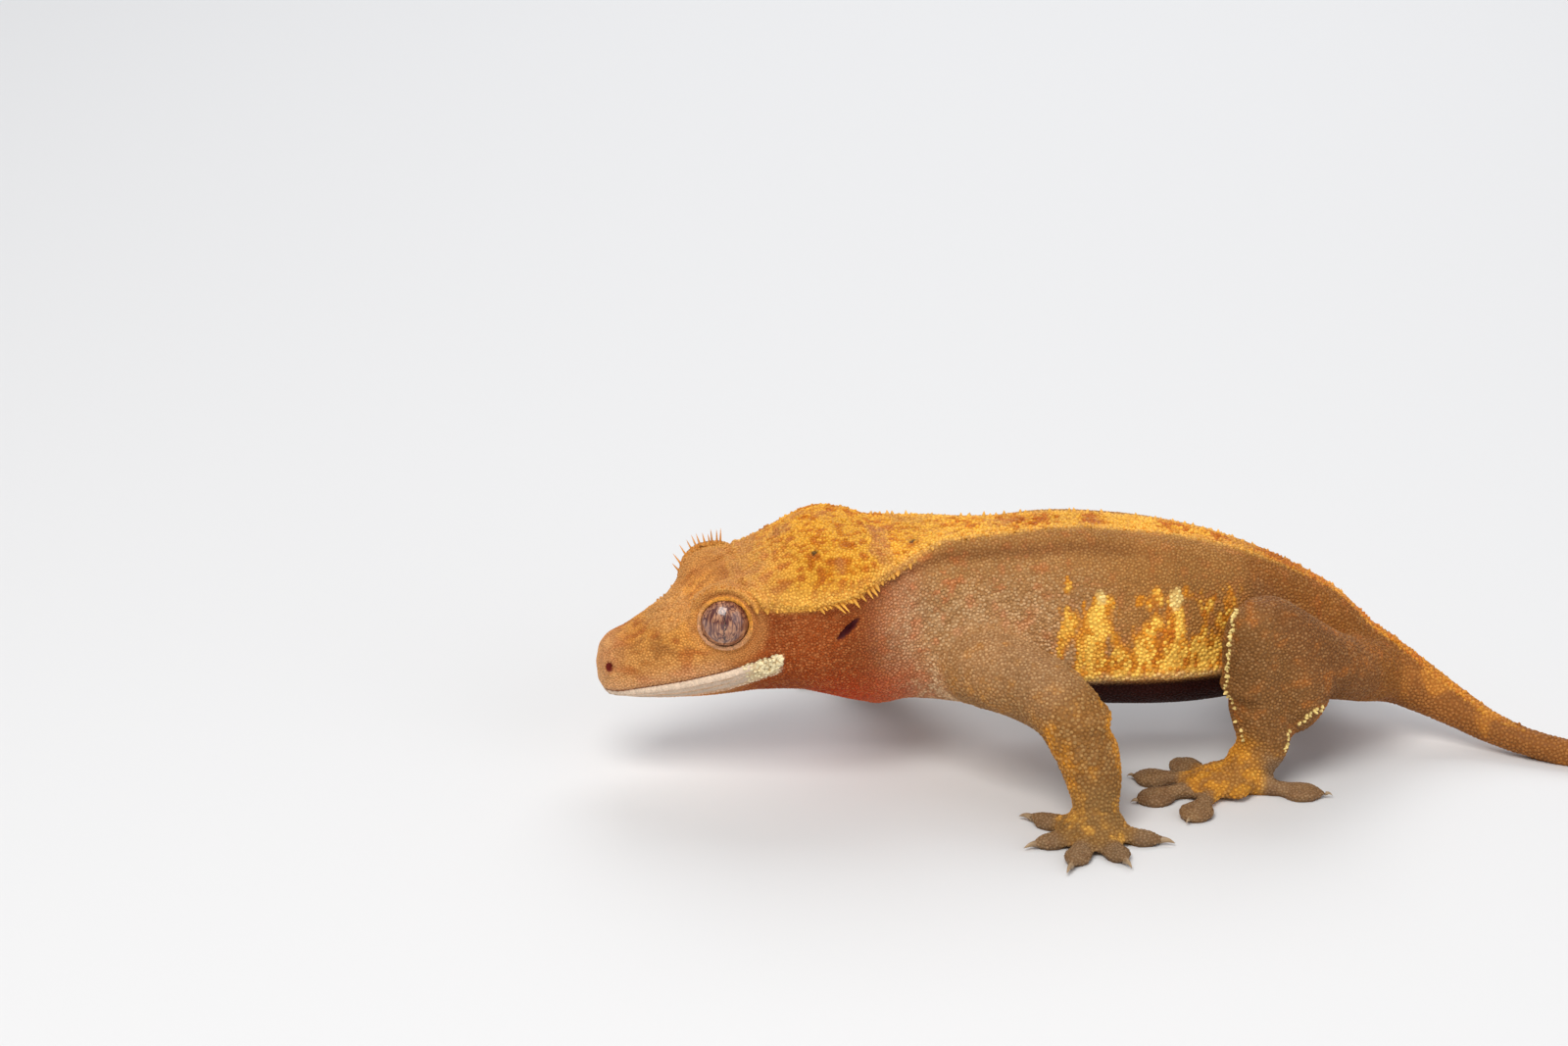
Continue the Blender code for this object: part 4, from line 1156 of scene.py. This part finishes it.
def crest_fringe(skin, spines):
    """The toothed rows along the crown's edges and down the back, longest at the crown's rear corners."""
    for side, row in itertools.product(SIDES, (0, 1)):
        x = FRINGE_X[0] + 0.3 * row
        while x < FRINGE_X[1]:
            wide, high = crest_at(x)
            place = np.array((x, tail_middle(x) + side * (wide + 0.4 - 0.7 * row), high + 0.2 * row))
            corner, on_head = zone(place, "crown corner"), zone(place, "head crest")
            nape = zone(place, "nape") * (1 - row)
            place[2] -= 0.9 * on_head * (1 - row)
            spot, normal, share = skin.snapped(place)
            length = 0.6 + 0.95 * corner * (1 - 0.5 * row) + 0.3 * nape - 0.15 * zone(place, "rear crest")
            length *= 0.35 + 1.15 * RANDOM.random() ** 1.8
            lift = (0.9 * (1 - on_head) + 0.6 * row - 0.75 * on_head * (1 - row)) * (1 - 0.5 * nape)
            ahead = posed_way(place, (0.15 + 0.75 * corner + between(-0.25, 0.25), side, lift))
            ground = markings(straightened(spot[None]), share[None], np.array([0.9]))[0]
            colour = (ground * 0.5 + tone("spine") * 0.5) * between(0.85, 1.15)
            width = between(0.3, 0.46) + 0.08 * nape
            root = spot - normal * (0.75 * width * (1 - abs(normal @ ahead)) + 0.05)
            spines.add(root, ahead, (1.0, 0.2, 0.1), width, width * 0.85, length, colour)
            x += (0.66 + 0.1 * row) * between(0.5, 1.5)


def brow_lashes(skin, spines):
    """The thin spines over each eye, fanned from front to back, and short on the side in the photo."""
    for side in SIDES:
        for t in np.linspace(0, 1, LASHES):
            x = LASH_X[0] + (LASH_X[1] - LASH_X[0]) * t + between(-0.15, 0.15)
            wide, high = crest_at(x)
            place = np.array((x, side * wide, high + 0.2))
            way = posed_way(place, (-0.6 + 0.7 * t, side * (0.75 - 0.2 * t), 0.55 + 0.5 * t))
            colour = tone("lash") * between(0.9, 1.15)
            length = between(1.2, 1.9) if side > 0 else between(0.45, 0.75)
            spines.add(skin.snapped(place)[0], way, (1.0, 0.3, 0.2), 0.19, 0.17, length, colour)


def pin_rows(skin, spines):
    """The lines of pale pointed scales down the shin's front edge and round the heel."""
    for points, way, left_out_low in PIN_ROWS:
        line = np.array(points)
        run = np.concatenate([[0], np.cumsum(np.linalg.norm(np.diff(line, axis=0), axis=1))])
        for at in np.arange(0, run[-1], PIN_PITCH):
            place = np.array([np.interp(at, run, line[:, k]) for k in range(3)]) + between(-0.35, 0.35, 3)
            spot, normal, _ = skin.snapped(place)
            ahead = normal + 0.6 * np.array(way) + between(-0.25, 0.25, 3)
            ahead /= np.linalg.norm(ahead)
            if RANDOM.random() >= (PINS_LEFT_OUT if place[2] > KNEE_HEIGHT else left_out_low):
                colour = tone("cream") * between(0.6, 1.1)
                width = between(0.24, 0.42)
                spines.add(spot, ahead, (1.0, 0.1, 0.1), width, width, between(0.2, 0.6), colour)


def make_coat(skin):
    """All the scales, as pieces for each group of solids, with the spines and the lip plates apart."""
    coat, plates, spines = Scales(), Scales(), Scales()
    granules(skin, coat)
    lid_scales(skin, coat)
    lip_scales(skin, plates)
    mouth_corner(skin, coat)
    crest_fringe(skin, spines)
    brow_lashes(skin, spines)
    pin_rows(skin, spines)
    *columns, groups = coat.merged()
    along_body = straightened(columns[0])[:, 0]
    made = []
    for index, name in enumerate(GROUPS):
        mine = np.flatnonzero(groups == index)
        mine = mine[np.argsort(along_body[mine], kind="stable")]
        pieces = max(1, math.ceil(len(mine) / COAT_PIECE_SCALES))
        for number, chosen in enumerate(np.array_split(mine, pieces)):
            title = f"coat_{name}" + (f"_{number + 1}" if pieces > 1 else "")
            outline = KNOB if name in KNOBBY else GRANULE
            made.append(new_piece(title, scale_mesh(title, outline, *(column[chosen] for column in columns))))
    for title, outline, scales in (("crest_spines", SPINE, spines), ("lip_plates", PLATE, plates)):
        made.append(new_piece(title, scale_mesh(title, outline, *scales.merged()[:-1])))
    return made


def new_piece(name, mesh):
    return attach(link(bpy.data.objects.new(name, mesh)), "root")


def make_claws():
    """A curved, tapering claw at each toe tip."""
    shape = bmesh.new()
    for name, (root, tips) in FEET.items():
        length, radius = FORE_CLAW if name.startswith("fore") else HIND_CLAW
        for tip_x, tip_y in tips:
            way = np.array((tip_x - root[0], tip_y - root[1], 0.0))
            way /= np.linalg.norm(way)
            side = np.array((-way[1], way[0], 0.0))
            rings = []
            for t in np.linspace(0, 1, CLAW_RINGS):
                middle = np.array((tip_x, tip_y, CLAW_ROOT + 0.3 * math.sin(t * 2.2) - 0.42 * t * t))
                middle = middle + way * ((t - CLAW_ROOT) * length)
                thick = radius * (1 - t) ** 0.7 + 0.02
                round_it = [side * thick * 0.8 * math.cos(a) + (0, 0, thick * math.sin(a))
                            for a in circle(CLAW_CORNERS)]
                rings.append([shape.verts.new(in_frame(middle + offset)) for offset in round_it])
            for first, second in zip(rings[:-1], rings[1:]):
                bridge(shape, first, second)
            shape.faces.new(rings[0])
            shape.faces.new(rings[-1])
    mesh = mesh_of("claws", shape)
    smooth(mesh)
    return new_piece("claws", mesh)


def make_eye(name, side):
    """An eyeball as a fine sphere with its pole at the pupil, and each point's place on it kept."""
    axis = eye_axis(side)
    across, up = frame_round(axis)
    shape = bmesh.new()
    bmesh.ops.create_uvsphere(shape, u_segments=EYE_SEGMENTS[0], v_segments=EYE_SEGMENTS[1], radius=1.0)
    mesh = mesh_of(name, shape)
    local = vertex_array(mesh)
    places = eye_centre(side) + EYE_RADIUS * (local @ np.array((across, up, axis)))
    write_array(mesh.vertices, "co", in_frame(posed(places)))
    smooth(mesh)
    layer = mesh.attributes.new("eye_place", "FLOAT_VECTOR", "POINT")
    write_array(layer.data, "vector", local)
    mesh.update()
    return new_piece(name, mesh)


class Nodes:
    """A short way to write a material's nodes."""

    def __init__(self, name):
        self.material = bpy.data.materials.new(name)
        self.material.use_nodes = True
        self.tree = self.material.node_tree
        self.shader = self.tree.nodes["Principled BSDF"].inputs

    def feed(self, sockets, values):
        """Links or sets the sockets of these names or numbers."""
        for key, value in values.items():
            if isinstance(value, bpy.types.NodeSocket):
                self.tree.links.new(value, sockets[key])
            else:
                sockets[key].default_value = value

    def add(self, kind, values, output=0, **settings):
        """One output of a new node, whose inputs are fed with the values."""
        node = self.tree.nodes.new("ShaderNode" + kind)
        for key, value in settings.items():
            setattr(node, key, value)
        self.feed(node.inputs, values)
        return node.outputs[output]

    def maths(self, operation, *values):
        return self.add("Math", dict(enumerate(values)), operation=operation)

    def stretched(self, place, amounts):
        return self.add("VectorMath", {0: place, 1: amounts}, operation="MULTIPLY")

    def noise(self, place, scale, detail, distortion=0.0):
        values = {"Vector": place, "Scale": scale, "Detail": detail, "Distortion": distortion}
        return self.add("TexNoise", values)

    def grain(self, scale):
        """Fine noise fixed to the piece."""
        return self.noise(self.add("TexCoord", {}, "Object"), scale, 3.0)

    def mapped(self, value, low, high, to_low=0.0, to_high=1.0):
        values = dict(enumerate((value, low, high, to_low, to_high)))
        return self.add("MapRange", values, interpolation_type="SMOOTHSTEP")

    def mixed(self, amount, first, second):
        return self.add("Mix", {0: amount, 6: first, 7: second}, 2, data_type="RGBA")

    def veins(self, place, scale, detail, distortion, width, strength):
        """Branching lines where a noise crosses its middle."""
        off_middle = self.maths("SUBTRACT", self.noise(place, scale, detail, distortion), 0.5)
        return self.mapped(self.maths("ABSOLUTE", off_middle), *width, strength, 0.0)

    def relief(self, height, strength, distance):
        bump = self.add("Bump", {"Strength": strength, "Distance": distance, "Height": height})
        self.feed(self.shader, {"Normal": bump})


def rgba(name):
    return tuple(tone(name)) + (1.0,)


def scaly_material(name, fine, roughness, strength):
    """Skin or scale: the body's markings, with fine grain in colour, shine and relief."""
    n = Nodes(name)
    grain = n.grain(fine)
    colour = n.add("Attribute", {}, "Color", attribute_name="colour")
    shade = n.mapped(grain, 0.3, 0.7, 0.84, 1.16)
    n.feed(n.shader, {
        "Base Color": n.add("VectorMath", {0: colour, "Scale": shade}, operation="SCALE"),
        "Roughness": n.mapped(grain, 0.3, 0.7, roughness - 0.08, roughness + 0.1),
        "Specular IOR Level": 0.14,
    })
    n.relief(grain, strength, 0.00012)
    return n.material


def claw_material():
    n = Nodes("claw")
    grain = n.grain(900.0)
    n.feed(n.shader, {
        "Base Color": n.mixed(n.mapped(grain, 0.3, 0.7), rgba("claw dark"), rgba("claw")),
        "Roughness": n.mapped(grain, 0.3, 0.7, 0.3, 0.45),
    })
    n.relief(grain, 0.2, 0.00005)
    return n.material


def eye_material():
    """A brown-mauve iris with dark upright lines, a thin bent pupil and a black rim, under a wet gloss."""
    n = Nodes("eye")
    place = n.add("Attribute", {}, "Vector", attribute_name="eye_place")
    x, y = (n.add("SeparateXYZ", {0: place}, axis) for axis in "XY")
    radius = n.add("VectorMath", {0: n.stretched(place, (1.0, 1.0, 0.0))}, "Value", operation="LENGTH")
    upright = n.stretched(place, (1.0, 0.14, 1.0))
    lines = n.veins(upright, 7.6, 1.5, 0.35, (0.03, 0.1), 1.0)
    fine_lines = n.veins(upright, 15.0, 1.0, 0.3, (0.02, 0.08), 0.5)
    cloud = n.mapped(n.noise(place, 2.4, 2.0), 0.35, 0.65)
    iris = n.mixed(cloud, rgba("iris mauve"), rgba("iris tan"))
    iris = n.mixed(n.maths("MAXIMUM", lines, fine_lines), iris, rgba("iris line"))
    wave = n.noise(n.stretched(place, (0.0, 1.0, 0.0)), 9.0, 1.0)
    half_width = n.mapped(wave, 0.3, 0.7, 0.002, 0.026)
    aside = n.maths("SUBTRACT", x, n.mapped(wave, 0.35, 0.65, -0.04, 0.05))
    inside = n.maths("SUBTRACT", n.maths("ABSOLUTE", aside), half_width)
    slit = n.mapped(inside, -0.01, 0.02, 1.0, 0.0)
    ends = n.mapped(n.maths("ABSOLUTE", y), 0.55, 0.66, 1.0, 0.0)
    iris = n.mixed(n.maths("MULTIPLY", slit, ends), iris, rgba("pupil"))
    n.feed(n.shader, {
        "Base Color": n.mixed(n.mapped(radius, 0.86, 0.92), iris, rgba("pupil")),
        "Roughness": 0.35,
        "Coat Weight": 1.0,
        "Coat Roughness": 0.04,
    })
    return n.material


def make_floor():
    bpy.ops.mesh.primitive_plane_add(size=FLOOR_SIZE)
    floor = bpy.context.object
    floor.name = "floor"
    n = Nodes("floor")
    n.feed(n.shader, {"Base Color": FLOOR_COLOUR, "Roughness": 0.7})
    floor.data.materials.append(n.material)


def make_lights():
    for name, (place, target, size, power, colour) in LIGHTS.items():
        light = bpy.data.lights.new(name, "AREA")
        light.size = size
        light.energy = power
        light.color = colour
        lamp = link(bpy.data.objects.new(name, light))
        lamp.location = place
        lamp.rotation_euler = (Vector(target) - Vector(place)).to_track_quat("-Z", "Y").to_euler()
    world = bpy.data.worlds.new("studio")
    world.use_nodes = True
    sky = world.node_tree.nodes["Background"].inputs
    sky["Color"].default_value = SKY_COLOUR
    sky["Strength"].default_value = SKY_STRENGTH
    bpy.context.scene.world = world


def make_camera():
    turn, rise = math.radians(CAMERA_AZIMUTH_DEG), math.radians(CAMERA_HEIGHT_DEG)
    back = Vector((math.sin(turn) * math.cos(rise), -math.cos(turn) * math.cos(rise), math.sin(rise)))
    right = (-back).cross(Vector((0, 0, 1))).normalized()
    up = right.cross(-back)
    per_px = CAMERA_SENSOR / CAMERA_LENS / PICTURE[0] * CAMERA_DISTANCE
    aside = (CAMERA_MARK_PX[0] - PICTURE[0] / 2) * per_px
    below = (CAMERA_MARK_PX[1] - PICTURE[1] / 2) * per_px
    place = Vector(in_frame(CAMERA_MARK)) + back * CAMERA_DISTANCE - right * aside + up * below
    data = bpy.data.cameras.new("camera")
    data.lens = CAMERA_LENS
    data.sensor_width = CAMERA_SENSOR
    data.clip_start = 0.01
    camera = link(bpy.data.objects.new("camera", data))
    camera.matrix_world = Matrix.Translation(place) @ Matrix((right, up, back)).transposed().to_4x4()
    bpy.context.scene.camera = camera


def dressed(pieces, material):
    for piece in pieces:
        piece.data.materials.clear()
        piece.data.materials.append(material)


for old in list(bpy.data.objects):
    bpy.data.objects.remove(old)
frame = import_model()
ORIGIN = body_origin()

skin_data = make_skin(frame["nodes"])
skin_piece = new_piece("skin", skin_data.mesh)
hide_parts(*[node for members, _, _ in GROUPS.values() for node in members])
dressed([skin_piece], scaly_material("skin", 2600.0, 0.55, 0.5))
dressed(make_coat(skin_data), scaly_material("scale", 5200.0, 0.46, 0.35))
dressed([make_claws()], claw_material())
for eye_name, eye_side in (("eye_left", -1), ("eye_right", 1)):
    eye = make_eye("ball_of_" + eye_name, eye_side)
    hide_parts(eye_name)
    dressed([eye], eye_material())
make_floor()
make_lights()
make_camera()
bpy.context.scene.view_settings.view_transform = "Standard"
